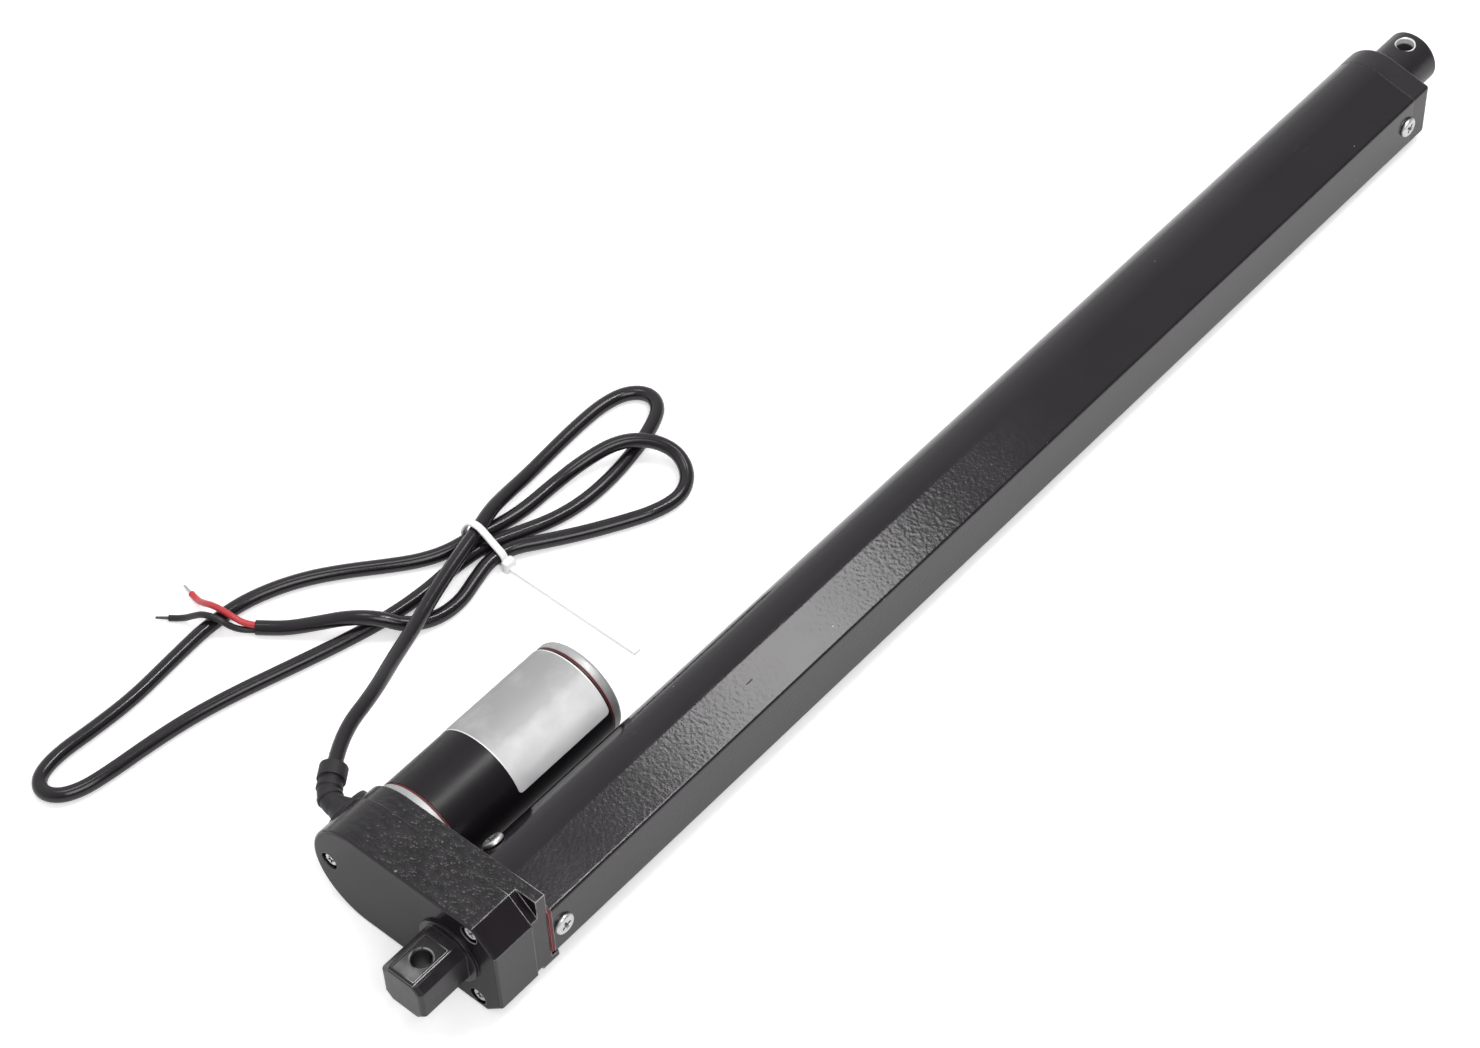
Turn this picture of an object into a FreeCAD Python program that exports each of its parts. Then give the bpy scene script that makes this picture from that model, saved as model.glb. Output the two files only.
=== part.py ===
"""Electric linear actuator: a motor beside the tube turns a lead screw, which moves a rod in and out.

Millimetres. Origin in the middle of the rear pivot hole, +X along the stroke, +Y to the motor, +Z up.
"""
import FreeCAD, Part
import math
import os

V = FreeCAD.Vector

# Reach and stroke
STROKE = 400.0
DEAD_LENGTH = 105.0
PIVOT_HOLE_D = 6.5
HOLE_CHAMFER = 0.6

# Rear clevis
CLEVIS_REACH = 11.0
CLEVIS_TAIL = 9.3
CLEVIS_WIDTH = 16.4
CLEVIS_HEIGHT = 16.8
CLEVIS_EDGE = 3.0
CLEVIS_END_ROUND = 1.6
CLEVIS_POCKET = 0.6
CLEVIS_POCKET_WIDTH = 8.8
CLEVIS_POCKET_TAIL = 7.9
CLEVIS_POCKET_NOSE = 6.5
CLEVIS_BASE_R = 11.5
CLEVIS_BASE_PROUD = 1.0
CLEVIS_SEAT = 1.5
CLEVIS_STUB_R = 6.0

# Rod, screw and nut
ROD_D = 20.0
ROD_WALL = 2.5
ROD_SHOWN = 4.0
ROD_TIP = 7.0
ROD_END_L = 16.0
ROD_TIP_CHAMFER = 1.2
ROD_PLUG_L = 12.0
SCREW_D = 12.0
SCREW_TIP_GAP = 6.0
SCREW_TIP_CHAMFER = 1.0
NUT_FLANGE_L = 14.0
NUT_STUB_L = 8.0
NUT_GAP = 3.0
NUT_LUG_WIDTH = 15.0

# Outer tube
BORE_GAP = 2.0
TUBE_WALL = 3.0
CHANNEL_DEPTH = 5.4
CHANNEL_HEIGHT = 16.0
FLAT_WALL = 2.0
FLAT_HEIGHT = 20.8
TUBE_EDGE = 0.8
GASKET_T = 1.0
GASKET_INSET = 0.3
REAR_SPIGOT_L = 13.0
FRONT_SPIGOT_L = 8.0

# Front cap, rod bush and wiper
CAP_L = 10.0
CAP_ROUND = 2.0
BUSH_WALL = 1.0
WIPER_WALL = 2.6
WIPER_L = 5.2
WIPER_SUNK = 0.8
WIPER_LIP = 0.9

# Gearbox
GEARBOX_MARGIN = 2.5
COVER_L = 16.0
HOUSING_L = 7.0
GEARBOX_WALL = 3.0
GEARBOX_CHAMFER = 8.4
GEARBOX_LOW_CHAMFER = 6.4
GEARBOX_EDGE_R = 1.0
HOUSING_INSET = 0.8
HOUSING_LIP_L = 3.9
HOUSING_LIP_Y = -6.0
TOE_L = 3.0
TOE_WIDTH = 4.6
TOE_HEIGHT = 2.2
TOE_Z = -14.6
SCREW_BOSS_R = 4.2

# Gear train
MODULE = 1.0
PINION_TEETH = 12
IDLER_BIG_TEETH = 26
IDLER_SMALL_TEETH = 12
OUTPUT_TEETH = 24
ADDENDUM = 0.8
DEDENDUM = 1.1
TOOTH_THINNING = 0.1
PRESSURE_ANGLE = math.radians(20)
FIRST_STAGE_L = 3.8
OUTPUT_GEAR_L = 6.0
GEAR_END_GAP = 0.6
STAGE_GAP = 2.0
IDLER_PIN_R = 2.0
PIN_SEAT_COVER = 1.8
PIN_SEAT_HOUSING = 4.0

# Screw bearing
BEARING_BORE_R = 5.0
BEARING_R = 11.0
BEARING_L = 6.0
BEARING_RING_T = 2.0
BALL_GAP = 0.08
BALL_COUNT = 8
GEAR_SEAT_R = 4.0
RETAINER_T = 1.2
RETAINER_R = 5.4

# Motor
MOTOR_D = 35.0
MOTOR_SLEEVE_L = 66.8
MOTOR_SLEEVE_T = 1.0
MOTOR_GASKET_T = 0.8
MOTOR_GASKET_INSET = 0.2
BELL_L = 3.0
BELL_BOSS_R = 7.9
BELL_BOSS_L = 4.0
END_CAP_L = 3.6
END_CAP_ROUND = 1.5
END_CAP_BOSS_R = 6.0
END_CAP_BOSS_L = 1.5
MOTOR_BUSH_R = 4.5
MOTOR_BUSH_L = 5.0
MOTOR_SHAFT_R = 2.5
MAGNET_T = 3.0
MAGNET_START = 10.0
MAGNET_END = 12.8
MAGNET_ARC = 130.0
ARMATURE_GAP = 0.5
ARMATURE_SHORTER = 4.0
ARMATURE_SLOTS = 5
SLOT_WIDTH = 2.4
SLOT_DEPTH = 6.0
COIL_END_L = 4.0
COIL_SHARE = 0.8
COMMUTATOR_R = 5.0
COMMUTATOR_L = 8.0
BRUSH_GAP = 0.3
BRUSH_SIZE = 4.0
BRUSH_PLATE_T = 1.6
BRUSH_END_GAP = 1.3

# Limit switches
BOARD_T = 1.2
BOARD_HEIGHT = 10.0
BOARD_END_GAP = 1.0
SWITCH_T = 1.6
SWITCH_L = 10.0
SWITCH_HEIGHT = 8.0
SWITCH_GAP = 0.5

# Fasteners
SCREW_HEAD_R = 2.8
SCREW_HEAD_H = 1.9
SCREW_HEAD_ROUND = 1.1
SCREW_SHANK_R = 1.5
SIDE_HEAD_R = 3.7
SIDE_HEAD_H = 1.5
SIDE_HEAD_ROUND = 1.0
SIDE_SHANK_R = 1.9
SIDE_SCREW_L = 6.0
FLAT_SCREW_X = 4.2
ROUND_SCREW_X = 7.4
FRONT_SCREW_X = 3.0
ROUND_SCREW_ANGLE = 45.0
COVER_SCREW_SUNK = 2.5
COVER_SCREW_BITE = 4.0
SINK_GAP = 0.35
COVER_SCREW_Y = -9.5
COVER_SCREW_Z = 15.8
COVER_SCREW_INSET = 6.7
MOTOR_SCREW_INSET = 5.0

# Strain relief and cord
CORD_D = 5.0
BOOT_NECK_R = 4.0
BOOT_NECK_L = 3.5
BOOT_FLANGE_R = 8.8
BOOT_FLANGE_L = 1.4
BOOT_FOOT_L = 2.6
BOOT_WAIST_R = 5.0
BOOT_R = 3.8
BOOT_RISE = 6.0
BOOT_BEND_R = 8.0
BOOT_TURN = 55.0
BOOT_TAIL = 8.0
BOOT_RIB_R = 4.2
BOOT_RIB_T = 1.2
BOOT_COLLAR_R = 4.6
BOOT_COLLAR_L = 5.0
CORE_D = 2.2
TIP_R = 0.6
TIP_L = 5.0
TIE_WIDTH = 2.6
TIE_T = 1.0
TIE_HEAD = 4.6
TIE_TAIL_L = 55.0
TIE_GAP = 0.4
CORE_SPREAD = 1.15
CORE_GRIP = 2.0
CORD_LEAD = 13.0
BEND_SHARE = 0.45

# Fits
FIT = 0.02
RUN = 0.05
SLIDE = 0.3

# Places along the stroke
ROD_R = ROD_D / 2
SCREW_R = SCREW_D / 2
PIVOT_SPACING = STROKE + DEAD_LENGTH
SEAM_X = CLEVIS_REACH + COVER_L
HOUSING_X = SEAM_X + HOUSING_L
TUBE_X = HOUSING_X + GASKET_T
SPIGOT_X = HOUSING_X + REAR_SPIGOT_L
ROD_X1 = PIVOT_SPACING + ROD_TIP
ROD_SEAM_X = ROD_X1 - ROD_END_L
CAP_X1 = ROD_SEAM_X - ROD_SHOWN
CAP_X = CAP_X1 - CAP_L
FRONT_SPIGOT_X = CAP_X - FRONT_SPIGOT_L
NUT_X = SPIGOT_X + NUT_GAP
ROD_TUBE_X = NUT_X + NUT_FLANGE_L
SCREW_X1 = ROD_SEAM_X - ROD_PLUG_L - SCREW_TIP_GAP
COVER_INNER_X = CLEVIS_REACH + GEARBOX_WALL
FIRST_STAGE_X = COVER_INNER_X + GEAR_END_GAP
FIRST_STAGE_X1 = FIRST_STAGE_X + FIRST_STAGE_L
OUTPUT_GEAR_X = FIRST_STAGE_X1 + STAGE_GAP
OUTPUT_GEAR_X1 = OUTPUT_GEAR_X + OUTPUT_GEAR_L
BEARING_X1 = SEAM_X + BEARING_L

# Places across the stroke
BORE_R = ROD_R + BORE_GAP
TUBE_R = BORE_R + TUBE_WALL
CHANNEL_Y = -(BORE_R + CHANNEL_DEPTH)
FLAT_Y = CHANNEL_Y - FLAT_WALL
FLANK_ANGLE = math.atan2(FLAT_HEIGHT / 2, -FLAT_Y) + math.acos(TUBE_R / math.hypot(FLAT_Y, FLAT_HEIGHT / 2))
PITCH_R = {n: MODULE * n / 2 for n in (PINION_TEETH, IDLER_BIG_TEETH, IDLER_SMALL_TEETH, OUTPUT_TEETH)}
IDLER_Y = PITCH_R[OUTPUT_TEETH] + PITCH_R[IDLER_SMALL_TEETH]
MOTOR_Y = IDLER_Y + PITCH_R[IDLER_BIG_TEETH] + PITCH_R[PINION_TEETH]
MOTOR_R = MOTOR_D / 2
MOTOR_SCREW_PITCH = MOTOR_R - MOTOR_SCREW_INSET
GEARBOX_R = MOTOR_R + GEARBOX_MARGIN
FLOOR_Z = -GEARBOX_R
FLOOR_SLOPE = (GEARBOX_R - TUBE_R) / (CAP_X1 - CAP_ROUND - SEAM_X)
COVER_SCREWS = [
    (MOTOR_Y + GEARBOX_R - COVER_SCREW_INSET, 0.0),
    (COVER_SCREW_Y, COVER_SCREW_Z),
    (COVER_SCREW_Y, -COVER_SCREW_Z),
]

# Motor places along its axis
BELL_X1 = HOUSING_X + BELL_L
SLEEVE_X = BELL_X1 + MOTOR_GASKET_T
SLEEVE_X1 = SLEEVE_X + MOTOR_SLEEVE_L
END_CAP_X = SLEEVE_X1 + MOTOR_GASKET_T
END_CAP_X1 = END_CAP_X + END_CAP_L
SLEEVE_BORE_R = MOTOR_R - MOTOR_SLEEVE_T
MAGNET_X = SLEEVE_X + MAGNET_START
MAGNET_X1 = SLEEVE_X1 - MAGNET_END
ARMATURE_R = SLEEVE_BORE_R - MAGNET_T - ARMATURE_GAP
ARMATURE_X = MAGNET_X + ARMATURE_SHORTER / 2
ARMATURE_X1 = MAGNET_X1 - ARMATURE_SHORTER / 2
COMMUTATOR_X = ARMATURE_X1 + COIL_END_L

# The cord's route as x, y and the height of its underside above the table
CORD_ROUTE = [
    (67.0, 87.0, 14.4), (83.0, 95.0, 8.8), (98.0, 100.7, 6.0), (112.0, 105.4, 6.0), (126.0, 109.4, 6.0),
    (140.0, 112.6, 6.3), (150.0, 116.0, 5.6), (160.0, 118.6, 2.6), (172.0, 120.2, 0.4),
    (186.0, 121.6, 0.0), (200.0, 122.4, 0.0), (212.0, 122.2, 0.0), (221.0, 119.4, 0.0), (225.4, 113.0, 0.0),
    (222.6, 106.4, 0.0), (214.0, 102.4, 0.0), (203.0, 99.8, 0.0), (190.0, 97.9, 0.0), (176.0, 97.7, 0.0),
    (163.0, 100.4, 0.0), (151.0, 105.4, 0.6), (140.0, 109.8, 1.3), (128.0, 111.8, 0.6), (115.0, 112.0, 0.0),
    (100.0, 113.8, 0.0), (83.0, 118.2, 0.0), (64.0, 124.4, 0.0), (46.0, 130.4, 0.0), (30.0, 134.6, 0.0),
    (14.0, 137.0, 0.0), (0.0, 138.4, 0.0), (-11.0, 140.2, 0.0), (-18.0, 144.2, 0.0), (-20.0, 150.2, 0.0),
    (-15.6, 155.0, 0.0), (-6.0, 156.4, 0.0), (7.0, 155.2, 0.0), (24.0, 154.4, 0.0), (42.0, 156.0, 0.0),
    (58.0, 157.2, 0.0), (72.0, 156.0, 0.0), (84.0, 152.0, 0.0), (95.0, 146.0, 0.0), (105.0, 138.2, 0.0),
    (114.0, 130.0, 0.0), (122.6, 122.8, 0.0), (131.0, 117.8, 0.6), (140.0, 115.4, 1.3), (150.0, 112.4, 0.6),
    (161.0, 110.9, 0.0), (174.0, 110.6, 0.4), (187.0, 108.4, 2.6), (198.6, 103.4, 5.8), (206.2, 95.4, 5.8),
    (209.4, 86.4, 3.4), (206.0, 78.4, 0.6), (197.6, 74.2, 0.0), (187.0, 76.4, 0.0), (176.0, 82.4, 0.0),
    (164.6, 89.4, 0.0), (154.0, 96.4, 0.5), (145.6, 102.0, 1.3), (137.0, 104.2, 1.3), (128.0, 102.6, 0.5),
    (118.6, 100.2, 0.0), (108.6, 101.4, 0.0), (99.6, 106.2, 1.6), (94.2, 112.4, 5.8), (88.2, 120.2, 5.8),
    (81.4, 128.8, 2.6), (75.8, 135.8, 0.3), (72.0, 140.8, 0.0), (69.2, 144.6, 0.0),
]
RED_ROUTE = [
    (67.2, 147.6, 3.1), (65.9, 150.6, 4.9), (65.1, 154.2, 6.2), (64.5, 159.0, 6.2), (64.8, 164.4, 3.0),
    (65.9, 169.0, 0.0), (66.6, 172.4, 0.0),
]
BLACK_ROUTE = [
    (66.6, 147.2, 0.5), (63.6, 150.0, 2.8), (61.7, 153.4, 6.2), (60.1, 158.6, 6.2), (59.0, 163.0, 3.0),
    (57.4, 167.0, 0.0), (54.8, 170.6, 0.0),
]
TIE_X = 140.0
TIE_STRANDS = [(103.7, 1.3), (109.8, 1.3), (115.4, 1.3), (112.6, 6.3)]


def rod_x(radius, x0, x1, y=0.0, z=0.0):
    """A round bar along X."""
    return Part.makeCylinder(radius, x1 - x0, V(x0, y, z), V(1, 0, 0))


def ring_x(outer, inner, x0, x1, y=0.0, z=0.0):
    """A round bar along X with a hole through it."""
    return rod_x(outer, x0, x1, y, z).cut(rod_x(inner, x0 - 1, x1 + 1, y, z))


def block(x0, x1, y0, y1, z0, z1):
    """A box between two corners."""
    return Part.makeBox(x1 - x0, y1 - y0, z1 - z0, V(x0, y0, z0))


def prism(face, x0, x1):
    """A face in the YZ plane, drawn out along X."""
    return face.translated(V(x0, 0, 0)).extrude(V(x1 - x0, 0, 0))


def one(shape):
    """The single clean solid of a boolean's result."""
    return shape.removeSplitter().Solids[0]


def group(shapes):
    """Separate solids that share a node."""
    return Part.makeCompound([s for shape in shapes for s in shape.Solids])


def edges_at_x(shape, x):
    """The edges that lie whole in one plane across the stroke."""
    return [e for e in shape.Edges if abs(e.BoundBox.XMin - x) < 1e-4 and abs(e.BoundBox.XMax - x) < 1e-4]


def line(a, b):
    return Part.LineSegment(a, b).toShape()


def arc(a, middle, b):
    return Part.Arc(a, middle, b).toShape()


def gearbox_outline(inset=0.0):
    """The gearbox seen along X: round about the motor, square with two cut corners about the screw."""
    r = GEARBOX_R - inset
    flat = FLAT_Y + inset
    shrink = inset * (2 - math.sqrt(2))
    cut = GEARBOX_CHAMFER - shrink
    low_cut = GEARBOX_LOW_CHAMFER - shrink
    top = [V(0, MOTOR_Y, r), V(0, flat + cut, r), V(0, flat, r - cut)]
    low = [V(0, MOTOR_Y, -r), V(0, flat + low_cut, -r), V(0, flat, low_cut - r)]
    edges = [
        arc(low[0], V(0, MOTOR_Y + r, 0), top[0]),
        line(top[0], top[1]),
        line(top[1], top[2]),
        line(top[2], low[2]),
        line(low[2], low[1]),
        line(low[1], low[0]),
    ]
    return Part.Face(Part.Wire(edges))


def corner_arc(before, corner, after, cut):
    """An arc that rounds a corner from a given way before it: its start, middle and end, and its radius."""
    back = (before - corner).normalize()
    ahead = (after - corner).normalize()
    turn = math.pi - back.getAngle(ahead)
    radius = cut / math.tan(turn / 2)
    inward = (back + ahead).normalize()
    middle = corner + inward * (math.hypot(cut, radius) - radius)
    return corner + back * cut, middle, corner + ahead * cut, radius


def tube_outline(inset=0.0):
    """The tube seen along X: round on the motor's side, with two flanks that slope to a flat on the other."""
    r = TUBE_R - inset
    flat = FLAT_Y + inset
    half = (r + flat * math.cos(FLANK_ANGLE)) / math.sin(FLANK_ANGLE)
    touch = V(0, -r * math.cos(FLANK_ANGLE), r * math.sin(FLANK_ANGLE))
    start, middle, end, _ = corner_arc(touch, V(0, flat, half), V(0, flat, 0), TUBE_EDGE)
    top = [touch, start, middle, end]
    low = [V(0, p.y, -p.z) for p in top]
    edges = [
        arc(low[0], V(0, r, 0), top[0]),
        line(top[0], top[1]),
        arc(top[1], top[2], top[3]),
        line(top[3], low[3]),
        arc(low[3], low[2], low[1]),
        line(low[1], low[0]),
    ]
    return Part.Face(Part.Wire(edges))


def tube_core(x0, x1, gap=0.0):
    """The space inside the tube: a round bore with a square channel beside it."""
    half = CHANNEL_HEIGHT / 2 - gap
    channel = block(x0, x1, CHANNEL_Y + gap, 0, -half, half)
    return rod_x(BORE_R - gap, x0, x1).fuse(channel)


def aimed(shape, place, direction):
    """A shape made along +X, turned to a direction and moved to its place."""
    turned = shape.copy()
    turned.Placement = FreeCAD.Placement(place, FreeCAD.Rotation(V(1, 0, 0), direction))
    return turned


def pan_screw(head_r, head_h, head_round, shank_r, length):
    """A pan head screw: the head stands towards +X from its seat at the origin."""
    head = rod_x(head_r, 0, head_h)
    head = head.makeFillet(head_round, edges_at_x(head, head_h))
    return one(head.fuse(rod_x(shank_r, -length, 0)))


def small_screw(length):
    return pan_screw(SCREW_HEAD_R, SCREW_HEAD_H, SCREW_HEAD_ROUND, SCREW_SHANK_R, length)


def side_screw_places():
    """Seat and direction of each screw that holds the tube: one at each end of the flat, two on the round."""
    turn = math.radians(ROUND_SCREW_ANGLE)
    places = [(V(x, FLAT_Y, 0), V(0, -1, 0)) for x in (TUBE_X + FLAT_SCREW_X, CAP_X - FRONT_SCREW_X)]
    for sign in (1, -1):
        out = V(0, math.cos(turn), sign * math.sin(turn))
        places.append((V(TUBE_X + ROUND_SCREW_X, 0, 0) + out * TUBE_R, out))
    return places


def side_screw_holes():
    radius = SIDE_SHANK_R + FIT
    holes = [Part.makeCylinder(radius, SIDE_SCREW_L + 1, p + d, d * -1) for p, d in side_screw_places()]
    return Part.makeCompound(holes)


def pivot_hole(x, half):
    """A hole along Z with a cut edge at each mouth."""
    r = PIVOT_HOLE_D / 2
    hole = Part.makeCylinder(r, 2 * half, V(x, 0, -half))
    for sign in (1, -1):
        start = V(x, 0, sign * (half - HOLE_CHAMFER))
        hole = hole.fuse(Part.makeCone(r, r + HOLE_CHAMFER, HOLE_CHAMFER, start, V(0, 0, sign)))
    return hole


def rear_clevis():
    """A square lug with cut edges on a round base, with a shallow pocket about each mouth of its hole."""
    w = CLEVIS_WIDTH / 2
    h = CLEVIS_HEIGHT / 2
    c = CLEVIS_EDGE
    upper = [(w, h - c), (w - c, h), (c - w, h), (-w, h - c)]
    lower = [(-y, -z) for y, z in upper]
    points = [V(0, y, z) for y, z in upper + lower]
    lug = prism(Part.Face(Part.makePolygon(points + points[:1])), -CLEVIS_TAIL, CLEVIS_REACH)
    lug = lug.makeFillet(CLEVIS_END_ROUND, edges_at_x(lug, -CLEVIS_TAIL))
    seat_x = CLEVIS_REACH + CLEVIS_SEAT
    base = rod_x(CLEVIS_BASE_R, CLEVIS_REACH - CLEVIS_BASE_PROUD, seat_x)
    stub = rod_x(CLEVIS_STUB_R, CLEVIS_REACH, COVER_INNER_X)
    shape = lug.fuse(base).fuse(stub)
    half = CLEVIS_POCKET_WIDTH / 2
    for sign in (1, -1):
        z0, z1 = sorted((sign * (h - CLEVIS_POCKET), sign * (h + 1)))
        shape = shape.cut(block(-CLEVIS_POCKET_TAIL, CLEVIS_POCKET_NOSE, -half, half, z0, z1))
    return one(shape.cut(pivot_hole(0, h - CLEVIS_POCKET)))


def boot_notch():
    """The round hole on the seam that holds the strain relief's neck."""
    y = MOTOR_Y + GEARBOX_R - BOOT_NECK_L
    return Part.makeCylinder(BOOT_NECK_R + FIT, 2 * BOOT_NECK_L, V(SEAM_X, y, 0), V(0, 1, 0))


def gearbox_cover():
    """The rear half of the gearbox: a cup with a screw post at each cover screw."""
    shell = prism(gearbox_outline(), CLEVIS_REACH, SEAM_X)
    shell = shell.makeFillet(GEARBOX_EDGE_R, edges_at_x(shell, CLEVIS_REACH))
    cavity = prism(gearbox_outline(GEARBOX_WALL), COVER_INNER_X, SEAM_X)
    for y, z in COVER_SCREWS:
        cavity = cavity.cut(rod_x(SCREW_BOSS_R, COVER_INNER_X, SEAM_X, y, z))
    shell = shell.cut(cavity)
    for y, z in COVER_SCREWS:
        sink_x = CLEVIS_REACH + COVER_SCREW_SUNK
        shell = shell.cut(rod_x(SCREW_HEAD_R + SINK_GAP, CLEVIS_REACH - 1, sink_x, y, z))
        shell = shell.cut(rod_x(SCREW_SHANK_R + FIT, CLEVIS_REACH, SEAM_X, y, z))
    seat_x = CLEVIS_REACH + CLEVIS_SEAT
    shell = shell.cut(rod_x(CLEVIS_BASE_R + FIT, CLEVIS_REACH - 1, seat_x))
    shell = shell.cut(rod_x(CLEVIS_STUB_R + FIT, CLEVIS_REACH, COVER_INNER_X))
    shell = shell.cut(rod_x(IDLER_PIN_R + FIT, COVER_INNER_X - PIN_SEAT_COVER, COVER_INNER_X, IDLER_Y))
    return one(shell.cut(boot_notch()))


def gearbox_housing():
    """The front half of the gearbox: a plate with the bearing seat, and a spigot and a toe for the tube."""
    plate = prism(gearbox_outline(HOUSING_INSET), SEAM_X, HOUSING_X)
    lip_z = GEARBOX_R - HOUSING_INSET
    lip_y = FLAT_Y + HOUSING_INSET
    lip_x = HOUSING_X - HOUSING_LIP_L
    lip = block(lip_x, HOUSING_X, lip_y, HOUSING_LIP_Y, TOE_Z, lip_z)
    toe = block(lip_x, HOUSING_X + TOE_L, lip_y, lip_y + TOE_WIDTH, TOE_Z, TOE_Z + TOE_HEIGHT)
    shape = plate.fuse(lip).fuse(toe).fuse(tube_core(HOUSING_X, SPIGOT_X, FIT))
    shape = shape.cut(rod_x(SCREW_R + BORE_GAP, SEAM_X, SPIGOT_X))
    shape = shape.cut(rod_x(BEARING_R + FIT, SEAM_X, BEARING_X1))
    shape = shape.cut(rod_x(BELL_BOSS_R + FIT, SEAM_X, HOUSING_X, MOTOR_Y))
    shape = shape.cut(rod_x(IDLER_PIN_R + FIT, SEAM_X, SEAM_X + PIN_SEAT_HOUSING, IDLER_Y))
    for y, z in COVER_SCREWS:
        shape = shape.cut(rod_x(SCREW_SHANK_R + FIT, SEAM_X, SEAM_X + COVER_SCREW_BITE, y, z))
    for sign in (1, -1):
        z = sign * MOTOR_SCREW_PITCH
        shape = shape.cut(rod_x(SCREW_SHANK_R + FIT, SEAM_X, HOUSING_X, MOTOR_Y, z))
    return one(shape.cut(boot_notch()).cut(side_screw_holes()))


def tube_gasket():
    return one(prism(tube_outline(GASKET_INSET), HOUSING_X, TUBE_X).cut(tube_core(HOUSING_X, TUBE_X)))


def outer_tube():
    shape = prism(tube_outline(), TUBE_X, CAP_X).cut(tube_core(TUBE_X, CAP_X))
    return one(shape.cut(side_screw_holes()))


def front_cap():
    """The tube's front end: rounded outside, with a spigot and seats for the bush and the wiper."""
    cap = prism(tube_outline(), CAP_X, CAP_X1)
    cap = cap.makeFillet(CAP_ROUND, edges_at_x(cap, CAP_X1))
    shape = cap.fuse(tube_core(FRONT_SPIGOT_X, CAP_X, FIT))
    wiper_x = CAP_X1 - WIPER_L - WIPER_SUNK
    shape = shape.cut(rod_x(ROD_R + BUSH_WALL + FIT, FRONT_SPIGOT_X, wiper_x))
    shape = shape.cut(rod_x(ROD_R + WIPER_WALL + FIT, wiper_x, CAP_X1))
    return one(shape.cut(side_screw_holes()))


def rod_bush():
    return ring_x(ROD_R + BUSH_WALL, ROD_R + RUN, FRONT_SPIGOT_X, CAP_X1 - WIPER_L - WIPER_SUNK)


def wiper_seal():
    """A ring with a sloping lip that hugs the rod at the front."""
    x0 = CAP_X1 - WIPER_L - WIPER_SUNK
    x1 = CAP_X1 - WIPER_SUNK
    lip_x = x1 - WIPER_L / 2
    lip = Part.makeCone(ROD_R + WIPER_WALL, ROD_R + WIPER_LIP, WIPER_L / 2, V(lip_x, 0, 0), V(1, 0, 0))
    body = rod_x(ROD_R + WIPER_WALL, x0, lip_x).fuse(lip)
    return one(body.cut(rod_x(ROD_R + RUN, x0, x1)))


def rod_tube():
    return ring_x(ROD_R, ROD_R - ROD_WALL, ROD_TUBE_X, ROD_SEAM_X)


def rod_end():
    """A round plug that closes the rod, with the front pivot hole across it."""
    tip = rod_x(ROD_R, ROD_SEAM_X, ROD_X1)
    tip = tip.makeChamfer(ROD_TIP_CHAMFER, edges_at_x(tip, ROD_X1))
    plug = rod_x(ROD_R - ROD_WALL - FIT, ROD_SEAM_X - ROD_PLUG_L, ROD_SEAM_X)
    return one(tip.fuse(plug).cut(pivot_hole(PIVOT_SPACING, ROD_R)))


def drive_nut():
    """The nut on the screw: a flange that fills the bore, with a lug in the channel to stop it turning."""
    flange = rod_x(BORE_R - SLIDE, NUT_X, ROD_TUBE_X)
    lug_y = CHANNEL_Y + BOARD_T + SWITCH_T + SWITCH_GAP
    lug = block(NUT_X, ROD_TUBE_X, lug_y, 0, -NUT_LUG_WIDTH / 2, NUT_LUG_WIDTH / 2)
    stub = rod_x(ROD_R - ROD_WALL - FIT, ROD_TUBE_X, ROD_TUBE_X + NUT_STUB_L)
    hole = rod_x(SCREW_R + RUN, NUT_X, ROD_TUBE_X + NUT_STUB_L)
    return one(flange.fuse(lug).fuse(stub).cut(hole))


def lead_screw():
    """The screw, stepped down for its bearing, its gear and its retaining ring."""
    thread = rod_x(SCREW_R, BEARING_X1, SCREW_X1)
    thread = thread.makeChamfer(SCREW_TIP_CHAMFER, edges_at_x(thread, SCREW_X1))
    journal = rod_x(BEARING_BORE_R, SEAM_X, BEARING_X1)
    seat = rod_x(GEAR_SEAT_R, OUTPUT_GEAR_X - RETAINER_T, SEAM_X)
    return one(thread.fuse(journal).fuse(seat))


def screw_retainer():
    return ring_x(RETAINER_R, GEAR_SEAT_R + FIT, OUTPUT_GEAR_X - RETAINER_T, OUTPUT_GEAR_X)


def bearing_outer_ring():
    return ring_x(BEARING_R, BEARING_R - BEARING_RING_T, SEAM_X, BEARING_X1)


def bearing_inner_ring():
    return ring_x(BEARING_BORE_R + BEARING_RING_T, BEARING_BORE_R + FIT, SEAM_X, BEARING_X1)


def bearing_balls():
    """A ring of balls between the two bearing rings."""
    inner = BEARING_BORE_R + BEARING_RING_T
    outer = BEARING_R - BEARING_RING_T
    path = (inner + outer) / 2
    ball_r = (outer - inner) / 2 - BALL_GAP
    middle = (SEAM_X + BEARING_X1) / 2
    balls = []
    for i in range(BALL_COUNT):
        a = 2 * math.pi * i / BALL_COUNT
        balls.append(Part.makeSphere(ball_r, V(middle, path * math.cos(a), path * math.sin(a))))
    return group(balls)


def involute(base_r, r):
    """The angle that an involute has swept at a radius."""
    t = math.sqrt(max((r / base_r) ** 2 - 1, 0))
    return t - math.atan(t)


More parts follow.
